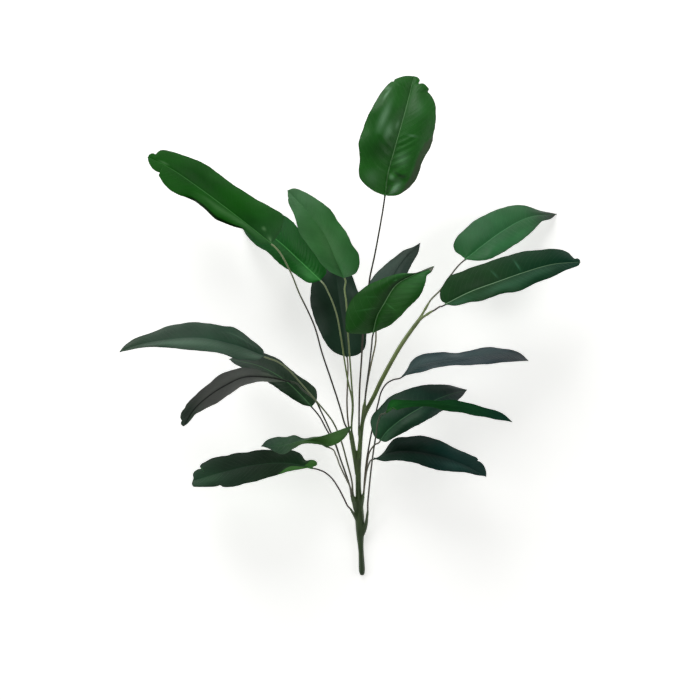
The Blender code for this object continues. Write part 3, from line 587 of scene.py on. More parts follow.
def leafSurface(name, shape, look):
    # P(s, v) = midrib(s) + |v| * (edge(s) - midrib(s)), raised by camber * 4|v|(1 - |v|), by the edge's
    # ripple * v squared, by pleats along the side veins and by the folds in its look
    s = leafShares(shape)
    half = np.linspace(-1.0, 1.0, leafMake["columns"])
    v = np.sign(half) * np.abs(half) ** leafMake["gather"]
    share = np.abs(v)[None, :]
    rib = smoothCurve(atPixel(*np.array(shape["midrib"], float).T), s)
    steps = np.linalg.norm(np.diff(rib, axis=0), axis=1)
    run = np.concatenate(([0.0], np.cumsum(steps)))
    along = unit(np.gradient(rib, s, axis=0))
    reach = np.where(
        (v < 0)[None, :, None],
        leafEdge(shape, "left", s, rib, along)[:, None, :],
        leafEdge(shape, "right", s, rib, along)[:, None, :],
    )
    width = np.linalg.norm(reach, axis=2)
    surface = rib[:, None, :] + share[..., None] * reach
    camber = shape["camber"] * width * 4 * share * (1 - share)
    height, waves = shape["ripple"]
    phase = 2.4 * list(leafShapes).index(name)
    wave = height * mm * np.sin(2 * math.pi * waves * s + phase) * np.sin(math.pi * s)
    surface[..., 2] += camber + wave[:, None] * share**2
    away = share * width
    start = run[:, None] - leafMake["veinLean"] * away - leafMake["veinBend"] * away * share
    upper = shape.get("face", "upper") == "upper"
    inner = smoothStep(0.0, leafMake["innerFrom"], s)[:, None]
    inner = inner * (1 - smoothStep(leafMake["innerTo"], 1.0, s))[:, None]
    lift = np.zeros(away.shape)
    turn = 2 * math.pi / (leafMake["pleatSpacing"] * mm)
    ups = np.sin(turn * start + phase) + 0.5 * np.sin(1.63 * turn * start + 2 * phase)
    lift += leafMake["pleat"] * mm * ups * inner * smoothStep(0.02, 0.25, share) * (1 - 0.5 * share)
    shortPitch, longPitch = leafMake["bucklePitch"]
    slow = np.sin(2 * math.pi * (run / (shortPitch * mm))[:, None] + 2.1 * v + phase)
    slow = slow * np.sin(2 * math.pi * (run / (longPitch * mm))[:, None] - 3.3 * v + 1.7 * phase)
    lift += leafMake["buckle"] * mm * slow * inner * share
    wide, thin = leafMake["furrowWidths"]
    furrow = np.exp(-((away / (wide * mm)) ** 2)) - 0.75 * np.exp(-((away / (thin * mm)) ** 2))
    lift -= (1.0 if upper else -0.3) * look.get("groove", leafMake["groove"]) * mm * furrow * inner
    for pleat in look.get("pleats", ()):
        zone = bump(s, *pleat["along"], 0.08)[:, None] * bump(np.abs(v), *pleat["across"], 0.15)[None, :]
        ridges = np.sin(2 * math.pi * start / (pleat["spacing"] * mm))
        lift += pleat["height"] * mm * ridges * zone * onSide(v, pleat["side"])
    for fold in look.get("folds", ()):
        zone = bump(s, *fold["along"], fold["soft"])[:, None] * onSide(v, fold["side"])
        lift += zone * np.maximum(share - fold["from"], 0) * width * fold["rise"]
    surface = surface + sheetNormals(surface, s, v) * lift[..., None]
    normal = sheetNormals(surface, s, v)
    taper = 1 - leafMake["ridgeTaper"] * s[:, None]
    rise = np.clip(1 - (away / (leafMake["ridgeWidth"] * mm * taper)) ** 2, 0, 1) ** 2
    thick = (leafMake["blade"] + leafMake["ridge"] * taper * rise) * mm
    side = -1.0 if upper else 1.0
    other = surface + side * normal * thick[..., None]
    near, far = (surface, other) if upper else (other, surface)
    for face in (near, far):
        face[..., 2] = np.maximum(face[..., 2], 0.0)
    places = np.stack((np.broadcast_to(run[:, None], away.shape), np.sign(v)[None, :] * away), axis=2)
    veins = np.stack((start, np.broadcast_to(share, away.shape)), axis=2)
    return s, v, run[-1], near, far, places, veins


def leafValues(s, v, look):
    # painted light in soft ovals: painted highlight and sheen above 0 and painted shade below it, with a few
    # thin light ones that are pale vein lines; each an oval in (share of length, share of width)
    paintedLightAndVeins = np.zeros((len(s), len(v)))
    for along, across, longRadius, wideRadius, amount in look.get("paintedLightAndVeinPatches", ()):
        oval = ((s - along) / longRadius)[:, None] ** 2 + ((v - across) / wideRadius)[None, :] ** 2
        paintedLightAndVeins += amount * np.exp(-oval)
    # where the fold colour goes: the margin beyond each fold's crease, painted light and shade on the fold
    folded = np.zeros((len(s), len(v)))
    for fold in look.get("folds", ()):
        zone = bump(s, *fold["along"], fold["soft"])[:, None]
        crease = fold["from"] + (1 - zone) * (1 - fold["from"])  # nears the edge at both ends
        beyond = smoothStep(-0.03, 0.03, np.abs(v)[None, :] - crease)
        folded = np.maximum(folded, smoothStep(0.0, 0.15, zone) * beyond * onSide(v, fold["side"]))
    return paintedLightAndVeins, folded


def sheetFaces(rows, columns):
    # two grids back to back: the near one faces b x a, the far one the other way, joined round the rim
    r, c = np.meshgrid(np.arange(rows - 1), np.arange(columns - 1), indexing="ij")
    i = (r * columns + c).ravel()
    near = np.stack((i, i + 1, i + columns + 1, i + columns), axis=1)
    low = rows * columns
    far = np.stack((i, i + columns, i + columns + 1, i + 1), axis=1) + low
    e = np.arange(rows - 1) * columns
    left = np.stack((e, e + columns, e + columns + low, e + low), axis=1)
    e = e + columns - 1
    right = np.stack((e + columns, e, e + low, e + columns + low), axis=1)
    e = np.arange(columns - 1)
    base = np.stack((e + 1, e, e + low, e + 1 + low), axis=1)
    e = e + (rows - 1) * columns
    tip = np.stack((e, e + 1, e + 1 + low, e + low), axis=1)
    return np.concatenate((near, far, left, right, base, tip)), len(near)


def leafFinish(name, look, length, isUpper):
    # Injection-moulded polyethylene, dyed in the mass: satin, IOR 1.51, with the mould's fine side veins;
    # its colours also carry painted shade, and its patches painted highlight, sheen and shade
    material, tree, shader = newMaterial(name)
    place = addNode(tree, "UVMap", uv_map="place")
    vein = addNode(tree, "UVMap", uv_map="veins")
    spot = addNode(tree, "TexCoord").outputs["Object"]
    placeXYZ = addNode(tree, "SeparateXYZ", links={0: place})
    veinXYZ = addNode(tree, "SeparateXYZ", links={0: vein})
    cloud = addNode(tree, "TexNoise", {"Scale": leafVeins["cloudScale"], "Detail": 3.0}, {"Vector": spot})
    # base to tip
    stops = look["upper"] if isUpper else look["under"]
    along = addNode(tree, "MapRange", {"From Max": length}, {"Value": placeXYZ})
    ramp = colourRamp(tree, along, stops)
    ramp.color_ramp.interpolation = "EASE"
    # side veins: a sine of the place where the vein leaves the midrib, shifted a little by the noise
    sway = addNode(tree, "Math", {1: 0.006}, {0: cloud}, operation="MULTIPLY")
    start = addNode(tree, "Math", links={0: veinXYZ, 1: sway}, operation="ADD")
    waves = {}
    spacings = {"main": 2 * look.get("veinSpacing", leafVeins["main"]), "fine": leafVeins["fine"]}
    for key, spacing in spacings.items():
        turn = addNode(tree, "Math", {1: 2 * math.pi / (spacing * mm)}, {0: start},
                       operation="MULTIPLY")
        waves[key] = addNode(tree, "Math", links={0: turn}, operation="SINE")
    size = addNode(tree, "Math", links={0: waves["main"]}, operation="ABSOLUTE")
    line = addNode(tree, "MapRange", {"From Max": leafVeins["mainWidth"], "To Min": 1.0, "To Max": 0.0},
                   {"Value": size}, interpolation_type="SMOOTHSTEP")
    # brightness: mottled by the noise and streaked by the fine veins
    dim, brighter = 1 - leafVeins["mottle"], 1 + leafVeins["mottle"]
    mottle = addNode(tree, "MapRange", {"From Min": 0.3, "From Max": 0.7, "To Min": dim, "To Max": brighter},
                     {"Value": cloud})
    bright = addNode(tree, "Math", {1: leafVeins["streak"], 2: 0.0},
                     {0: waves["fine"], 2: mottle}, operation="MULTIPLY_ADD")
    colour = addNode(tree, "HueSaturation", links={"Color": ramp, "Value": bright})
    socket = colour.outputs[0]
    veinAmount = addNode(tree, "Math", {1: look["veins"] * (1.0 if isUpper else 0.5)},
                         {0: line}, operation="MULTIPLY")
    socket = tint(tree, veinAmount, look["rib"], socket)
    # the patches paint highlight and sheen towards the light colour and shade towards the dark one; a few
    # thin light ones are pale vein lines
    paintedLightAndVeins = addNode(tree, "Attribute", attribute_name="paintedLightAndVeins")
    for key, low, high in (("light", 0.0, 1.0), ("dark", 0.0, -1.0)):
        amount = addNode(tree, "MapRange", {"From Min": low, "From Max": high},
                         {"Value": paintedLightAndVeins.outputs["Fac"]})
        socket = tint(tree, amount, look[key], socket)
    if isUpper:
        # the folded margin is tinted with painted light and shade in the fold colour, or the underside's
        # first colour where none is given
        folded = addNode(tree, "Attribute", attribute_name="folded")
        socket = tint(tree, folded.outputs["Fac"], look.get("foldPaintedLight", look["under"][0]), socket)
    # the midrib's line narrows to the tip
    across = addNode(tree, "Math", links={0: placeXYZ.outputs[1]}, operation="ABSOLUTE")
    narrow = addNode(tree, "Math", {1: leafVeins["ribTaper"] * mm / length}, {0: placeXYZ, 2: across},
                     operation="MULTIPLY_ADD")
    ribLine = addNode(tree, "MapRange",
                      {"From Min": leafVeins["ribCore"] * mm,
                       "From Max": look.get("ribWidth", leafVeins["rib"]) * mm,
                       "To Min": look.get("ribStrength", leafVeins["ribStrength"]), "To Max": 0.0},
                      {"Value": narrow}, interpolation_type="SMOOTHSTEP")
    socket = tint(tree, ribLine, look["rib"], socket)
    # the cut rim is a little darker
    rim = addNode(tree, "MapRange", {"From Min": leafVeins["rimFrom"], "To Max": leafVeins["rim"]},
                  {"Value": veinXYZ.outputs[1]})
    socket = tint(tree, rim, look["dark"], socket)
    tree.links.new(socket, shader.inputs["Base Color"])
    # sheen varies with the noise; the fine veins and a grain of 0.6 mm are in the bump
    low = leafVeins["roughness"] + (0.0 if isUpper else leafVeins["underRougher"])
    high = low + leafVeins["roughnessSpread"]
    rough = addNode(tree, "MapRange", {"From Min": 0.3, "From Max": 0.7, "To Min": low, "To Max": high},
                    {"Value": cloud})
    tree.links.new(rough.outputs[0], shader.inputs["Roughness"])
    shader.inputs["IOR"].default_value = plasticIOR
    shader.inputs["Specular IOR Level"].default_value = look.get("gloss", leafVeins["gloss"])
    grain = addNode(tree, "TexNoise", {"Scale": leafVeins["grainScale"], "Detail": 1.0}, {"Vector": spot})
    height = addNode(tree, "Math", {1: 0.35}, {0: waves["fine"], 2: grain},
                     operation="MULTIPLY_ADD")
    relief = addNode(tree, "Math", {1: 0.9 if isUpper else -1.2}, {0: line, 2: height},
                     operation="MULTIPLY_ADD")
    strength = {"Strength": leafVeins["bump"], "Distance": leafVeins["depth"] * mm}
    bumps = addNode(tree, "Bump", strength, {"Height": relief})
    tree.links.new(bumps.outputs[0], shader.inputs["Normal"])
    return material


# Spacing and strength of the side veins, in mm; the real fine veins are 1 mm apart, too fine to show here
leafVeins = {
    "main": 11.0,
    "mainWidth": 0.11,
    "fine": 3.4,
    "streak": 0.035,
    "roughness": 0.36,
    "roughnessSpread": 0.12,
    "underRougher": 0.14,
    "gloss": 0.2,  # a fine dull texture takes part of the sheen away
    "cloudScale": 30.0,  # soft clouds 33 mm across
    "mottle": 0.12,  # how much they lighten and darken
    "grainScale": 1700.0,  # a grain of 0.6 mm
    "bump": 0.35,  # strength of the relief, and its depth in mm
    "depth": 0.35,
    "rib": 1.5,  # half width of the midrib's line, of which the core is full strength
    "ribCore": 0.5,
    "ribTaper": 0.9,  # how much narrower it is at the tip
    "ribStrength": 0.8,
    "rim": 0.45,  # how dark the cut edge is, and from which share of the width
    "rimFrom": 0.96,
}


# The chosen looks of each leaf. Colours are sRGB: "upper" and "under" from base to tip, "rib" the
# midrib and side veins, "light" and "dark" what the patches fade to, "stalk" its petiole from foot to leaf.
# A patch is an oval as (share of length, share of width, its two radii, amount), left of the midrib below
# 0. It is lighter for an amount above 0, as painted highlight and sheen, and darker below 0, as painted
#    shade;
# a few thin light ones are pale vein lines. Pleats and folds lie between two shares of the length, "along".
# A fold starts at the share "from" of the width and rises by "rise"; beyond it the upper side is tinted with
# the fold colour, painted light and shade on the fold, or with the first underside colour where none is
# given.
# Lengths are in mm.
# The upper and under colours are partly painted shade: the leaves low in the plant and the parts that lie
# under other leaves have darker colours than the plastic has in open light.
leafLooks = {
    "top": {
        "upper": ("2A7222", "236220", "1F5C1B"), "under": ("4C5B4A", "47564A"), "rib": "7DB277",
        "light": "86B58C", "dark": "0A2A0B", "foldPaintedLight": "45593F", "stalk": ("45402F", "2F2825"),
        "slot": "leaf_green", "veins": 0.1,
        "paintedLightAndVeinPatches": (
            (0.6, -0.55, 0.1, 0.1, 0.55), (0.5, -0.3, 0.06, 0.1, 0.5), (0.76, -0.8, 0.04, 0.02, 0.7),
            (0.56, -0.11, 0.03, 0.04, 0.35), (0.1, 0.6, 0.055, 0.16, 0.85),
            (0.06, 0.26, 0.04, 0.14, -0.7), (0.17, 0.2, 0.02, 0.12, 0.45),
            (0.21, 0.45, 0.015, 0.25, -0.8), (0.32, 0.35, 0.05, 0.2, 0.3), (0.3, 0.82, 0.15, 0.02, 0.6),
            (0.37, -0.45, 0.08, 0.35, -0.4), (0.18, -0.6, 0.06, 0.25, 0.22),
            (0.7, 0.45, 0.06, 0.15, 0.12), (0.8, -0.9, 0.012, 0.06, 0.5), (0.5, 0.4, 0.006, 0.14, 0.4),
        ),
        "pleats": (
            {"side": "right", "along": (0.24, 0.46), "across": (0.12, 0.5), "spacing": 13, "height": 0.7},
            {"side": "right", "along": (0.06, 0.2), "across": (0.15, 0.6), "spacing": 26, "height": 2.0},
            {"side": "left", "along": (0.25, 0.5), "across": (0.15, 0.5), "spacing": 16, "height": 0.4},
        ),
        "folds": ({"side": "right", "along": (0.18, 0.46), "from": 0.84, "rise": 0.5, "soft": 0.1},),
    },
    "upper_left_long": {
        "upper": ("2A5A2C", "12520C", "0E4A08", "124E0C"), "under": ("3D4F3F", "2F4230"),
        "rib": "4C8A48", "light": "7CAE76", "dark": "0C300E", "foldPaintedLight": "0A2808",
        "stalk": ("3F4030", "37302B", "3A362C", "8FA070"), "slot": "leaf_green", "veins": 0.05,
        "gloss": 0.04,
        "paintedLightAndVeinPatches": (
            (0.2, -0.3, 0.1, 0.35, 0.15), (0.4, -0.35, 0.14, 0.22, 0.15), (0.03, 0.35, 0.025, 0.15, 0.5),
            (0.12, 0.3, 0.015, 0.06, 0.5), (0.62, 0.35, 0.2, 0.45, -0.35), (0.86, 0.12, 0.05, 0.1, 0.25),
            (0.22, 0.2, 0.07, 0.2, -0.25),
        ),
        "folds": ({"side": "left", "along": (0.24, 0.58), "from": 0.84, "rise": -0.7, "soft": 0.06},),
    },
    "upper_left_behind": {
        "upper": ("0E5814", "105616", "185020", "2C4A30"), "under": ("4A564A", "465048"),
        "rib": "4FA050", "light": "4C9C50", "dark": "08300F", "stalk": ("5A6C3C", "6E8048", "8A9A70"),
        "slot": "leaf_green", "veins": 0.2, "gloss": 0.08,
        "paintedLightAndVeinPatches": ((0.1, -0.4, 0.12, 0.5, 0.45), (0.25, 0.75, 0.25, 0.3, -0.35)),
        "pleats": (
            {"side": "right", "along": (0.1, 0.6), "across": (0.15, 0.9), "spacing": 8, "height": 0.5},
        ),
    },
    "upper_left_front": {
        "upper": ("377A3C", "3A783C", "45764A"), "under": ("4A5E4C", "46584A"), "rib": "5C9A5A",
        "light": "6AA266", "dark": "1E4523", "stalk": ("566A38", "6A7C48", "8FA36A"),
        "slot": "leaf_grey_green", "veins": 0.16, "groove": 0.1, "ribStrength": 0.25,
        "paintedLightAndVeinPatches": ((0.35, -0.1, 0.2, 0.4, 0.3), (0.08, 0.5, 0.1, 0.4, -0.15)),
    },
    "centre_back": {
        "upper": ("223E2C", "1F3828", "1C3426"), "under": ("33443A", "2F4036"), "rib": "2F5440",
        "light": "345243", "dark": "101E17", "stalk": ("5A5240", "6B6552"), "slot": "leaf_dark_green",
        "veins": 0.12, "groove": 0.12, "ribStrength": 0.3, "paintedLightAndVeinPatches": ((0.15, 0.5, 0.12, 0.4, 0.3),),
    },
    "centre_front": {
        "upper": ("17500F", "1A5212", "2C6630"), "under": ("5C6A58", "687064"), "rib": "8DBF86",
        "light": "4E9352", "dark": "0C2E0C", "foldPaintedLight": "6E7365", "stalk": ("37352C", "2C2A25"),
        "slot": "leaf_green", "veins": 0.08, "veinSpacing": 17.0, "gloss": 0.14,
        "paintedLightAndVeinPatches": (
            (0.3, -0.4, 0.005, 0.25, 0.5), (0.42, -0.45, 0.005, 0.2, 0.35),
            (0.36, 0.35, 0.006, 0.3, 0.45), (0.6, 0.4, 0.2, 0.4, 0.1), (0.2, 0.7, 0.15, 0.35, -0.4),
            (0.66, -0.07, 0.2, 0.1, -0.8), (0.65, -0.3, 0.01, 0.05, 1.0), (0.4, -0.6, 0.2, 0.3, 0.1),
        ),
        "pleats": (
            {"side": "right", "along": (0.2, 0.75), "across": (0.15, 0.9), "spacing": 17, "height": 0.25},
        ),
        "folds": (
            {"side": "left", "along": (0.88, 1.1), "from": 0.0, "rise": 0.0, "soft": 0.04},
            {"side": "right", "along": (0.95, 1.1), "from": 0.0, "rise": 0.0, "soft": 0.02},
        ),
    },
    "centre_behind": {
        "upper": ("2A4A3A", "2A4A3A"), "under": ("24382D", "30463B", "28382F"), "rib": "2F3D36",
        "light": "52645A", "dark": "222B26", "stalk": ("6B6A4E", "7C7A5C"), "slot": "leaf_underside",
        "veins": 0.2, "ribStrength": 0.15,
        "paintedLightAndVeinPatches": ((0.75, -0.3, 0.15, 0.3, 0.3), (1.0, 0.0, 0.03, 1.0, -1.0)),
    },
    "right_upper": {
        "upper": ("256B34", "2D693C", "2C6438", "35403A"), "under": ("3E5A48", "38483E"),
        "rib": "63A56E", "light": "4D9A5E", "dark": "3A3232", "stalk": ("6F7352", "4A4238"),
        "slot": "leaf_grey_green", "veins": 0.12, "groove": 0.15, "ribStrength": 0.6,
        "paintedLightAndVeinPatches": ((0.35, 0.75, 0.2, 0.3, 0.3), (0.6, 0.7, 0.1, 0.2, 0.25), (1.0, 0.0, 0.05, 1.0, -0.8)),
    },
    "right_second": {
        "upper": ("0E3C12", "0C3812", "0A361C", "0A3424"), "under": ("3A5244", "32473C"),
        "rib": "8AB088", "light": "4F8A68", "dark": "08240D", "stalk": ("4C4838", "37302B"),
        "slot": "leaf_green", "veins": 0.06, "gloss": 0.08,
        "paintedLightAndVeinPatches": (
            (0.1, 0.6, 0.1, 0.4, 0.25), (0.42, 0.5, 0.16, 0.35, 0.25), (0.68, 0.35, 0.12, 0.3, 0.15),
            (0.4, -0.35, 0.006, 0.2, 0.3), (0.56, -0.4, 0.006, 0.25, 0.4),
        ),
    },
    "right_middle": {
        "upper": ("163A38", "1A363A", "1A363E", "222E34"), "under": ("35463F", "33403E"),
        "rib": "3D5B56", "light": "567472", "dark": "162A28", "stalk": ("453F35", "3E3832"),
        "slot": "leaf_grey_green", "veins": 0.08, "gloss": 0.12, "groove": 0.1, "ribStrength": 0.2,
        "paintedLightAndVeinPatches": (
            (0.2, -0.3, 0.12, 0.5, 0.3), (0.62, -0.4, 0.2, 0.5, 0.35), (0.3, 0.4, 0.15, 0.5, -0.4),
        ),
    },
    "right_oval": {
        "upper": ("1C4A2A", "183C28", "1A3A2E", "37403F"), "under": ("31463C", "2F3F38"),
        "rib": "4C7E56", "light": "3A6B48", "dark": "0E2418", "stalk": ("5A5038", "4E4A38"),
        "slot": "leaf_dark_green", "veins": 0.15,
        "paintedLightAndVeinPatches": ((0.12, -0.6, 0.12, 0.4, 0.35), (0.35, 0.35, 0.2, 0.3, 0.25)),
    },
    "right_narrow": {
        "upper": ("1A4A20", "153E1C", "143820", "143228"), "under": ("3C6A3A", "2E4A34"),
        "rib": "2E6E2E", "light": "2F7A2E", "dark": "0A260E", "foldPaintedLight": "3A6034",
        "stalk": ("453B34", "34452A"), "slot": "leaf_green", "veins": 0.06, "gloss": 0.0,
        "ribStrength": 0.2, "paintedLightAndVeinPatches": ((0.08, -0.4, 0.06, 0.6, 0.2), (0.4, 0.6, 0.2, 0.5, -0.5)),
        "folds": ({"side": "right", "along": (-0.1, 0.06), "from": 0.1, "rise": 0.4, "soft": 0.04},),
    },
    "right_bottom": {
        "upper": ("243A2E", "0A2C20", "0A302A", "08322A"), "under": ("2E4038", "283A34"),
        "rib": "1B3A30", "light": "2F5A50", "dark": "040E0B", "stalk": ("4E4834", "4A4A36"),
        "slot": "leaf_dark_green", "veins": 0.08, "gloss": 0.08, "groove": 0.1, "ribStrength": 0.15,
        "paintedLightAndVeinPatches": (
            (0.45, 0.0, 0.25, 0.2, -0.7), (0.72, 0.5, 0.12, 0.35, 0.45), (0.3, -0.7, 0.2, 0.3, 0.2),
        ),
    },
    "left_middle": {
        "upper": ("1C3826", "20402C", "1C3826", "18341E"), "under": ("40564A", "3A4E42"),
        "rib": "4C7260", "light": "55785F", "dark": "152C1E", "stalk": ("54553A", "5E6C42", "7A8660"),
        "slot": "leaf_grey_green", "veins": 0.1, "gloss": 0.14, "groove": 0.05, "ribStrength": 0.15,
        "paintedLightAndVeinPatches": (
            (0.55, -0.4, 0.25, 0.3, 0.45), (0.26, -0.02, 0.05, 0.05, -0.7),
            (0.12, 0.12, 0.08, 0.08, -0.6), (0.16, 0.4, 0.1, 0.05, -0.5), (0.2, 0.62, 0.12, 0.03, 0.45),
            (0.5, 0.55, 0.2, 0.3, -0.3), (0.06, -0.5, 0.08, 0.3, 0.3),
        ),
    },
    "left_behind": {
        "upper": ("1A3A1C", "16301A", "26382A", "34463A"), "under": ("35463A", "303F35"),
        "rib": "4A7A4A", "light": "47684F", "dark": "0A1A0B", "stalk": ("3A3A2E", "333029"),
        "slot": "leaf_dark_green", "veins": 0.12, "paintedLightAndVeinPatches": ((0.1, -0.2, 0.1, 0.2, 0.25),),
    },
    "left_turned": {
        "upper": ("27402C", "233A28"), "under": ("5C7059", "5E635D", "555853", "22402A"),
        "rib": "1A1A19", "light": "6E6E6B", "dark": "1F2C23", "stalk": ("43442F", "33422B"),
        "slot": "leaf_underside", "veins": 0.06, "ribWidth": 2.6, "ribStrength": 1.0,
        "paintedLightAndVeinPatches": (
            (0.35, -0.6, 0.25, 0.4, 0.35), (0.88, 0.4, 0.12, 0.5, -0.8), (0.05, 0.0, 0.08, 1.0, -0.3),
        ),
    },
    "left_twisted": {
        "upper": ("2C5A18", "2A501C", "24442A", "284232"), "under": ("466A44", "40563F"),
        "rib": "3F7A3C", "light": "5FA248", "dark": "18401A", "stalk": ("4C4A34", "5A5A3C"),
        "slot": "leaf_green", "veins": 0.1, "ribStrength": 0.25,
        "paintedLightAndVeinPatches": ((0.15, 0.6, 0.15, 0.4, 0.3),),
    },
    "left_bottom": {
        "upper": ("123418", "102814", "142E1C", "1E3E28"), "under": ("3A8030", "35603A"),
        "rib": "3F6A4A", "light": "2F5A38", "dark": "08160C", "foldPaintedLight": "37682A",
        "stalk": ("4C3A3C", "2E2A26"), "slot": "leaf_dark_green", "veins": 0.14, "gloss": 0.08,
        "ribStrength": 0.2, "paintedLightAndVeinPatches": ((0.45, 0.4, 0.2, 0.4, -0.3), (0.85, -0.3, 0.12, 0.4, 0.35)),
        "folds": (
            {"side": "left", "along": (-0.1, 0.16), "from": 0.3, "rise": 0.2, "soft": 0.14},
            {"side": "right", "along": (-0.1, 0.07), "from": 0.0, "rise": 0.0, "soft": 0.02},
        ),
    },
}

leafEnds = {}  # middle of each leaf's base, and the direction in which the midrib leaves it
for name, shape in leafShapes.items():
    look = leafLooks[name]
    s, v, length, near, far, places, veins = leafSurface(name, shape, look)
    rows, columns = places.shape[:2]
    faces, nearCount = sheetFaces(rows, columns)
    paintedLightAndVeins, folded = leafValues(s, v, look)
    upperFinish = leafFinish("mouldedLeafUpper_" + name, look, length, True)
    underFinish = leafFinish("mouldedLeafUnder_" + name, look, length, False)
    finishes = (upperFinish, underFinish)
    if shape.get("face", "upper") != "upper":
        finishes = (underFinish, upperFinish)
    piece = newPiece(
        "blade_" + name,
        np.concatenate((near.reshape(-1, 3), far.reshape(-1, 3))),
        faces.tolist(),
        finishes,
        faceMaterials=(np.arange(len(faces)) >= nearCount),
        maps={
            "place": np.tile(places.reshape(-1, 2), (2, 1)),
            "veins": np.tile(veins.reshape(-1, 2), (2, 1)),
        },
        values={"paintedLightAndVeins": np.tile(paintedLightAndVeins.ravel(), 2), "folded": np.tile(folded.ravel(), 2)},
    )
    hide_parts("leaf_" + name)
    middle = columns // 2
    leafEnds[name] = (0.5 * (near[0, middle] + far[0, middle]), unit(near[2, middle] - near[0, middle]))
print("leaves made:", len(leafShapes))


# The stem's arms: "path" is (column, row, height in mm, radius in mm) from foot to end. "sockets" names the
# leaves whose stalks start at the end, and "turn" is the angle of the first of them in degrees.
stemArms = {
    "stake_and_column": {
        "path": (
            (362.1, 575.4, 5.0, 2.2), (362.1, 574.2, 5.1, 4.3), (362, 571.8, 5.2, 5.4),
            (361.6, 562, 5.2, 5.5), (361.1, 552, 5.2, 5.0), (360.7, 546, 6.0, 5.4),
            (360.2, 536, 7.8, 7.0), (359.8, 521, 11.5, 8.6), (359.2, 508, 18, 7.8),
            (358.8, 499, 24, 6.2), (358.4, 490, 30, 5.4), (358.2, 472, 42, 5.2), (358.2, 458, 51, 4.9),
        ),
    },
    "left_arm": {
        "path": (
            (357.4, 474, 41, 4.6), (355.4, 460, 50, 4.5), (353.2, 447, 58, 4.5), (351.6, 437.5, 65, 4.4),
        ),
        "sockets": ("upper_left_front", "upper_left_long", "centre_back", "upper_left_behind"),
        "turn": 45,
    },
    "right_arm": {
        "path": (
            (358.4, 470, 43, 4.6), (359.4, 455, 53, 4.5), (360.2, 443, 61, 4.2), (361.4, 431, 69, 3.8),
            (362.8, 421, 75, 3.7), (366.3, 411, 82, 3.9), (370.3, 403.2, 87, 4.0),
            (374.4, 395.3, 92, 4.1), (380.1, 382.9, 100, 4.1), (386.7, 370.4, 107, 4.1),
            (393.5, 357.9, 113, 4.0), (400.9, 345.4, 118, 4.0), (409.4, 332.9, 123, 3.9),
            (418.6, 320.6, 127, 3.7),
        ),
    },
    "fork_to_right_upper": {
        "path": ((414, 326, 126, 2.8), (421.4, 315.6, 128, 2.5), (425.8, 308, 127, 2.1)),
        "sockets": ("right_upper",),
    },
    "fork_to_right_second": {
        "path": ((414, 326, 126, 2.8), (422, 317.8, 131, 2.5), (428, 313.8, 136, 2.1)),
        "sockets": ("right_second",),
    },
    "stub_to_top": {
        "path": ((360.6, 452, 55, 2.8), (359.8, 442, 64, 2.5), (359.2, 433, 72, 2.2)),
        "sockets": ("top",),
    },
    "stub_to_centre": {
        "path": ((362, 426, 71, 3.4), (363.4, 414, 82, 3.6), (364.5, 405, 91, 3.6)),
        "sockets": ("centre_front", "centre_behind"), "turn": 90,
    },
    "lower_left": {
        "path": ((359, 520, 13, 5.0), (356, 509, 19, 5.0), (353.5, 500, 28, 4.3)),
        "sockets": ("left_middle", "left_twisted", "left_behind", "left_turned"), "turn": 45,
    },
    "lowest_left": {
        "path": ((358.6, 524, 12, 3.6), (355.6, 517.5, 18, 3.2), (352.6, 512.4, 27, 2.3)),
        "sockets": ("left_bottom",),
    },
    "lower_right_front": {
        "path": ((360, 518, 13, 4.2), (361.3, 507, 21, 3.7), (363, 497, 32, 3.3)),
        "sockets": ("right_oval", "right_bottom"), "turn": 90,
    },
    "lower_right_back": {
        "path": ((360, 518, 12, 4.0), (361.4, 507, 16, 3.3), (363, 497.5, 22.5, 2.2)),
        "sockets": ("right_middle",),
    },
    "knob": {
        "path": (
            (360.8, 538, 9, 4.0), (364.2, 530, 12, 4.2), (366.2, 523, 18, 3.4), (367.2, 515.4, 28, 2.3),
        ),
        "sockets": ("right_narrow",),
    },
}


# Colours of the stem, as sRGB, from the end of the stake up
stemLooks = {
    "colours": ("33452B", "3A4F2E", "4A6233", "566F3B", "66783F", "7D8C5C"),
    "topAt": 0.01,  # m along Y, the place of the last colour
    "stretch": 0.1,
    "streakScale": 420.0,  # streaks 2.4 mm apart, coarser than real ones, so that they show
    "detail": 3.0,
    "blotchScale": 45.0,
    "brightness": (0.7, 1.3, 0.72, 1.28),  # noise from, to; brightness from, to
    "bump": 0.35,
    "depth": 0.4,  # mm
    "roughness": 0.45,
}

# The streaks of the petioles' coating, in the same terms
stalkLooks = {
    "stretch": 0.12,
    "streakScale": 600.0,
    "detail": 2.0,
    "brightness": (0.3, 0.7, 0.8, 1.2),
    "bump": 0.3,
    "depth": 0.2,
    "roughness": 0.42,
}

# Petioles: wire stalks from the sockets of the stem's arms to the leaves. Lengths in mm.
stalkMake = {
    "rings": 110,
    "sides": 14,
    "foot": 1.65,
    "end": 1.4,
    "flare": 0.45,  # how much wider the moulded foot is
    "spacing": 1.12,  # room between stalks that share a socket
    "gap": 0.3,
    "inside": 4.0,  # how deep a stalk starts in its socket
    "sheath": 16.0,  # length of the stem's skin round its foot
    "straightStart": 7.0,
    "straightEnd": 6.0,
    "intoLeaf": 3.0,
    "colourSpan": (0.1, 0.92),  # shares of the length over which its colours are spread
}


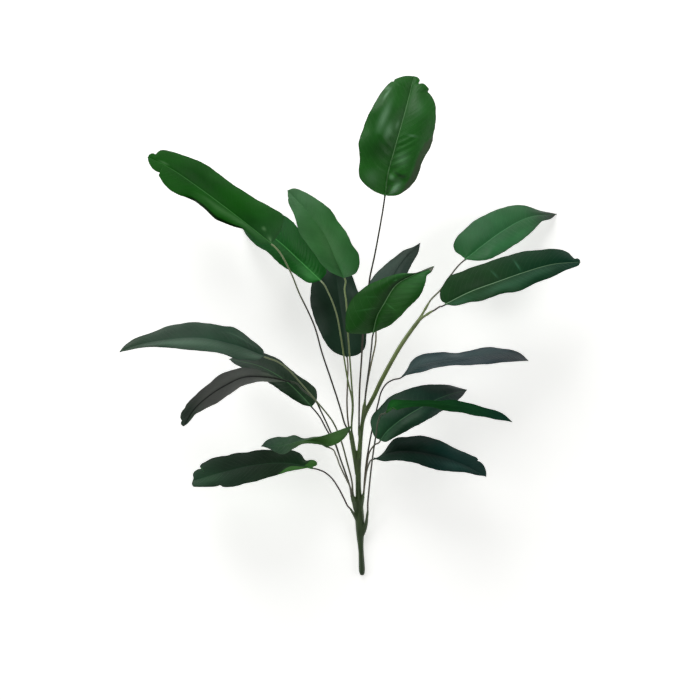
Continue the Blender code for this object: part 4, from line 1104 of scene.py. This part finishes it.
def socketEnds(arm):
    # where each stalk leaves the arm's end: set evenly round a circle square to the arm
    path = np.array(arm["path"], float)
    end = atPixel(*path[-1, :3])
    along = unit(end - atPixel(*path[-2, :3]))
    across = unit(np.array((along[1], -along[0], 0.0)))
    up = np.cross(across, along)
    names = arm.get("sockets", ())
    count = len(names)
    spread = 0.0
    if count > 1:
        spread = stalkMake["spacing"] * stalkMake["foot"] * mm / math.sin(math.pi / count)
    ends = {}
    for i, name in enumerate(names):
        angle = math.radians(arm.get("turn", 0) + 360 * i / count)
        aside = spread * (math.cos(angle) * across + math.sin(angle) * up)
        ends[name] = (end + stalkMake["gap"] * mm * along + aside, along)
    return ends


def tube(path, radii, sides):
    # rings round a path: P(i, a) = path(i) + radius(i) * (cos a * across(i) + sin a * up(i)), where up is
    # the part of +Z that is square to the path; a pole closes each end
    along = unit(np.gradient(path, axis=0))
    up = unit(np.array((0.0, 0.0, 1.0)) - along[:, 2:] * along)
    across = np.cross(along, up)
    angle = np.linspace(0.0, 2 * math.pi, sides, endpoint=False)[None, :, None]
    ring = np.cos(angle) * across[:, None] + np.sin(angle) * up[:, None]
    rings = path[:, None] + radii[:, None, None] * ring
    points = np.concatenate((rings.reshape(-1, 3), path[:1], path[-1:]))
    i, c = np.meshgrid(np.arange(len(path) - 1) * sides, np.arange(sides), indexing="ij")
    a, b = (i + c).ravel(), (i + (c + 1) % sides).ravel()
    quads = np.stack((a, a + sides, b + sides, b), axis=1)
    c = np.arange(sides)
    after = (c + 1) % sides
    last = (len(path) - 1) * sides
    pole = np.full(sides, len(path) * sides)
    start = np.stack((pole, c, after), axis=1)
    end = np.stack((pole + 1, last + after, last + c), axis=1)
    caps = np.concatenate((start, end))
    return points, quads.tolist() + caps.tolist()


def streakFinish(material, tree, shader, colour, look):
    # moulded or coated polyethylene with streaks that run along +Y: noise drawn out along Y sets brightness
    # and relief
    spot = addNode(tree, "TexCoord").outputs["Object"]
    stretch = addNode(tree, "Mapping", {"Scale": (1.0, look["stretch"], 1.0)}, {"Vector": spot})
    noise = {"Scale": look["streakScale"], "Detail": look["detail"]}
    streak = addNode(tree, "TexNoise", noise, {"Vector": stretch})
    level = streak
    if "blotchScale" in look:
        blotch = addNode(tree, "TexNoise", {"Scale": look["blotchScale"], "Detail": 2.0}, {"Vector": spot})
        level = addNode(tree, "Math", links={0: streak, 1: blotch}, operation="ADD")
    low, high, dim, bright = look["brightness"]
    value = addNode(tree, "MapRange", {"From Min": low, "From Max": high, "To Min": dim, "To Max": bright},
                    {"Value": level})
    shade = addNode(tree, "HueSaturation", links={"Color": colour, "Value": value})
    tree.links.new(shade.outputs[0], shader.inputs["Base Color"])
    relief = {"Strength": look["bump"], "Distance": look["depth"] * mm}
    bumps = addNode(tree, "Bump", relief, {"Height": streak})
    tree.links.new(bumps.outputs[0], shader.inputs["Normal"])
    shader.inputs["Roughness"].default_value = look["roughness"]
    shader.inputs["IOR"].default_value = plasticIOR
    return material


def stalkFinish(name, look):
    # Wire coated with dyed polyethylene: satin, streaked lengthwise, darker or lighter to its leaf
    material, tree, shader = newMaterial(name)
    share = addNode(tree, "Attribute", attribute_name="share").outputs["Fac"]
    foot = stemLooks["colours"][1]  # as green as the stem
    ramp = colourRamp(tree, share, look["stalk"], *stalkMake["colourSpan"], first=foot)
    return streakFinish(material, tree, shader, ramp, stalkLooks)


sheaths = []  # the stem's skin runs a little way up each stalk
for arm in stemArms.values():
    for name, (start, startAlong) in socketEnds(arm).items():
        base, leafAlong = leafEnds[name]
        points = atPixel(*np.array(leafShapes[name]["petiole"], float).T)
        inside, out = stalkMake["inside"] * mm, stalkMake["straightStart"] * mm
        towards, into = stalkMake["straightEnd"] * mm, stalkMake["intoLeaf"] * mm
        route = np.concatenate((
            [start - inside * startAlong, start, start + out * startAlong],
            points,
            [base - towards * leafAlong, base, base + into * leafAlong],
        ))
        shares = np.linspace(0.0, 1.0, stalkMake["rings"])
        path = smoothCurve(route, shares)
        steps = np.linalg.norm(np.diff(path, axis=0), axis=1).sum()
        near = smoothCurve(route, np.linspace(0.0, stalkMake["sheath"] * mm / steps, 12))
        sheaths.append((near, stalkMake["foot"] * mm * np.linspace(1.7, 1.15, 12)))
        radii = stalkMake["foot"] + (stalkMake["end"] - stalkMake["foot"]) * shares
        radii = (radii + stalkMake["flare"] * (1 - smoothStep(0.0, 0.06, shares))) * mm
        points, faces = tube(path, radii, stalkMake["sides"])
        around = np.concatenate((np.repeat(shares, stalkMake["sides"]), (0.0, 1.0)))
        finish = stalkFinish("coatedWireStalk_" + name, leafLooks[name])
        piece = newPiece("stalk_" + name, points, faces, [finish],
                         values={"share": around})
        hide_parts("petiole_" + name)
print("stalks made:", len(leafShapes))

# The moulded stem: its arms as tubes, melted into one skin
stemMake = {
    "rings": 70,
    "sides": 28,
    "voxel": 0.8,  # mm
    "smoothing": 8,
}


def stemFinish():
    # Injection-moulded polyethylene, dyed olive: satin, with faint streaks along the stem
    material, tree, shader = newMaterial("mouldedStem")
    place = addNode(tree, "SeparateXYZ", links={0: addNode(tree, "TexCoord").outputs["Object"]})
    along = addNode(tree, "MapRange", {"From Min": cadBox[0][1], "From Max": stemLooks["topAt"]},
                    {"Value": place.outputs["Y"]})
    ramp = colourRamp(tree, along, stemLooks["colours"])
    return streakFinish(material, tree, shader, ramp, stemLooks)


shares = np.linspace(0.0, 1.0, stemMake["rings"])
points, faces = [], []
for arm in stemArms.values():
    path = np.array(arm["path"], float)
    centres = atPixel(path[:, 0], path[:, 1], path[:, 2])
    line = smoothCurve(np.column_stack((centres, path[:, 3] * mm)), shares)
    sheaths.append((line[:, :3], line[:, 3]))
for line, radii in sheaths:
    skin, sides = tube(line, radii, stemMake["sides"])
    skin[:, 2] = np.maximum(skin[:, 2], 0.0)
    faces += [[i + sum(map(len, points)) for i in face] for face in sides]
    points.append(skin)
stem = newPiece("stem_skin", np.concatenate(points), faces, [stemFinish()])
melt = stem.modifiers.new("melt", "REMESH")
melt.mode = "VOXEL"
melt.voxel_size = stemMake["voxel"] * mm
melt.use_smooth_shade = True
smooth = stem.modifiers.new("smooth", "SMOOTH")
smooth.factor = 0.5
smooth.iterations = stemMake["smoothing"]
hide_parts("main_stem")
print("stem made")

# Floor, light and camera
studio = {
    "floor": "FAFAF8",
    "floorGlow": 0.56,  # a painted glow of its own with no lamp behind it, which pales the shadows cast on it
    "floorSize": 60.0,  # m
    "horizon": 0.62,
    "zenith": 0.06,
    "lamps": (  # name, place, size, watts; all of them aim at the plant
        ("keyLamp", (-0.9, 3.0, 1.9), 2.4, 78.0),
        ("leftLamp", (-3.2, 0.4, 1.8), 2.4, 36.0),
        ("rightLamp", (3.2, 0.2, 1.8), 2.4, 32.0),
        ("lowLamp", (0.3, -3.2, 1.7), 2.4, 20.0),
    ),
}

half = studio["floorSize"] / 2
mesh = bpy.data.meshes.new("floor")
corners = [(-half, -half, 0), (half, -half, 0), (half, half, 0), (-half, half, 0)]
mesh.from_pydata(corners, [], [(0, 1, 2, 3)])
paper, tree, shader = newMaterial("glowingPaleFloor")  # plain pale floor with a painted glow of its own, so the shadows on it are faint
shader.inputs["Base Color"].default_value = linear(studio["floor"])
# the floor's painted glow: it gives light though it is no lamp
shader.inputs["Emission Color"].default_value = linear(studio["floor"])
shader.inputs["Emission Strength"].default_value = studio["floorGlow"]
shader.inputs["Roughness"].default_value = 0.9
mesh.materials.append(paper)
floor = bpy.data.objects.new("floor", mesh)
bpy.context.scene.collection.objects.link(floor)

world = bpy.data.worlds.new("studio")
bpy.context.scene.world = world
world.use_nodes = True
tree = world.node_tree
spot = addNode(tree, "TexCoord")
height = addNode(tree, "SeparateXYZ", links={0: spot.outputs["Generated"]})
fade = addNode(tree, "MapRange",
               {"From Min": 0.0, "From Max": 0.35, "To Min": studio["horizon"], "To Max": studio["zenith"]},
               {"Value": height.outputs["Z"]}, interpolation_type="SMOOTHSTEP")
tree.links.new(fade.outputs[0], tree.nodes["Background"].inputs["Strength"])
tree.nodes["Background"].inputs["Color"].default_value = (1.0, 1.0, 1.0, 1.0)

for name, place, size, watts in studio["lamps"]:
    lamp = bpy.data.lights.new(name, "AREA")
    lamp.shape = "DISK"
    lamp.size = size
    lamp.energy = watts
    holder = bpy.data.objects.new(name, lamp)
    holder.location = place
    holder.rotation_euler = (Vector(place)).to_track_quat("Z", "Y").to_euler()
    bpy.context.scene.collection.objects.link(holder)

lens = bpy.data.cameras.new("camera")
lens.sensor_width = picture["sensor"]
lens.lens = picture["focalPixels"] * picture["sensor"] / picture["width"]
camera = bpy.data.objects.new("camera", lens)
camera.location = picture["eye"]
bpy.context.scene.collection.objects.link(camera)
bpy.context.scene.camera = camera
bpy.context.scene.view_settings.view_transform = "Standard"
print("floor, lamps and camera set")
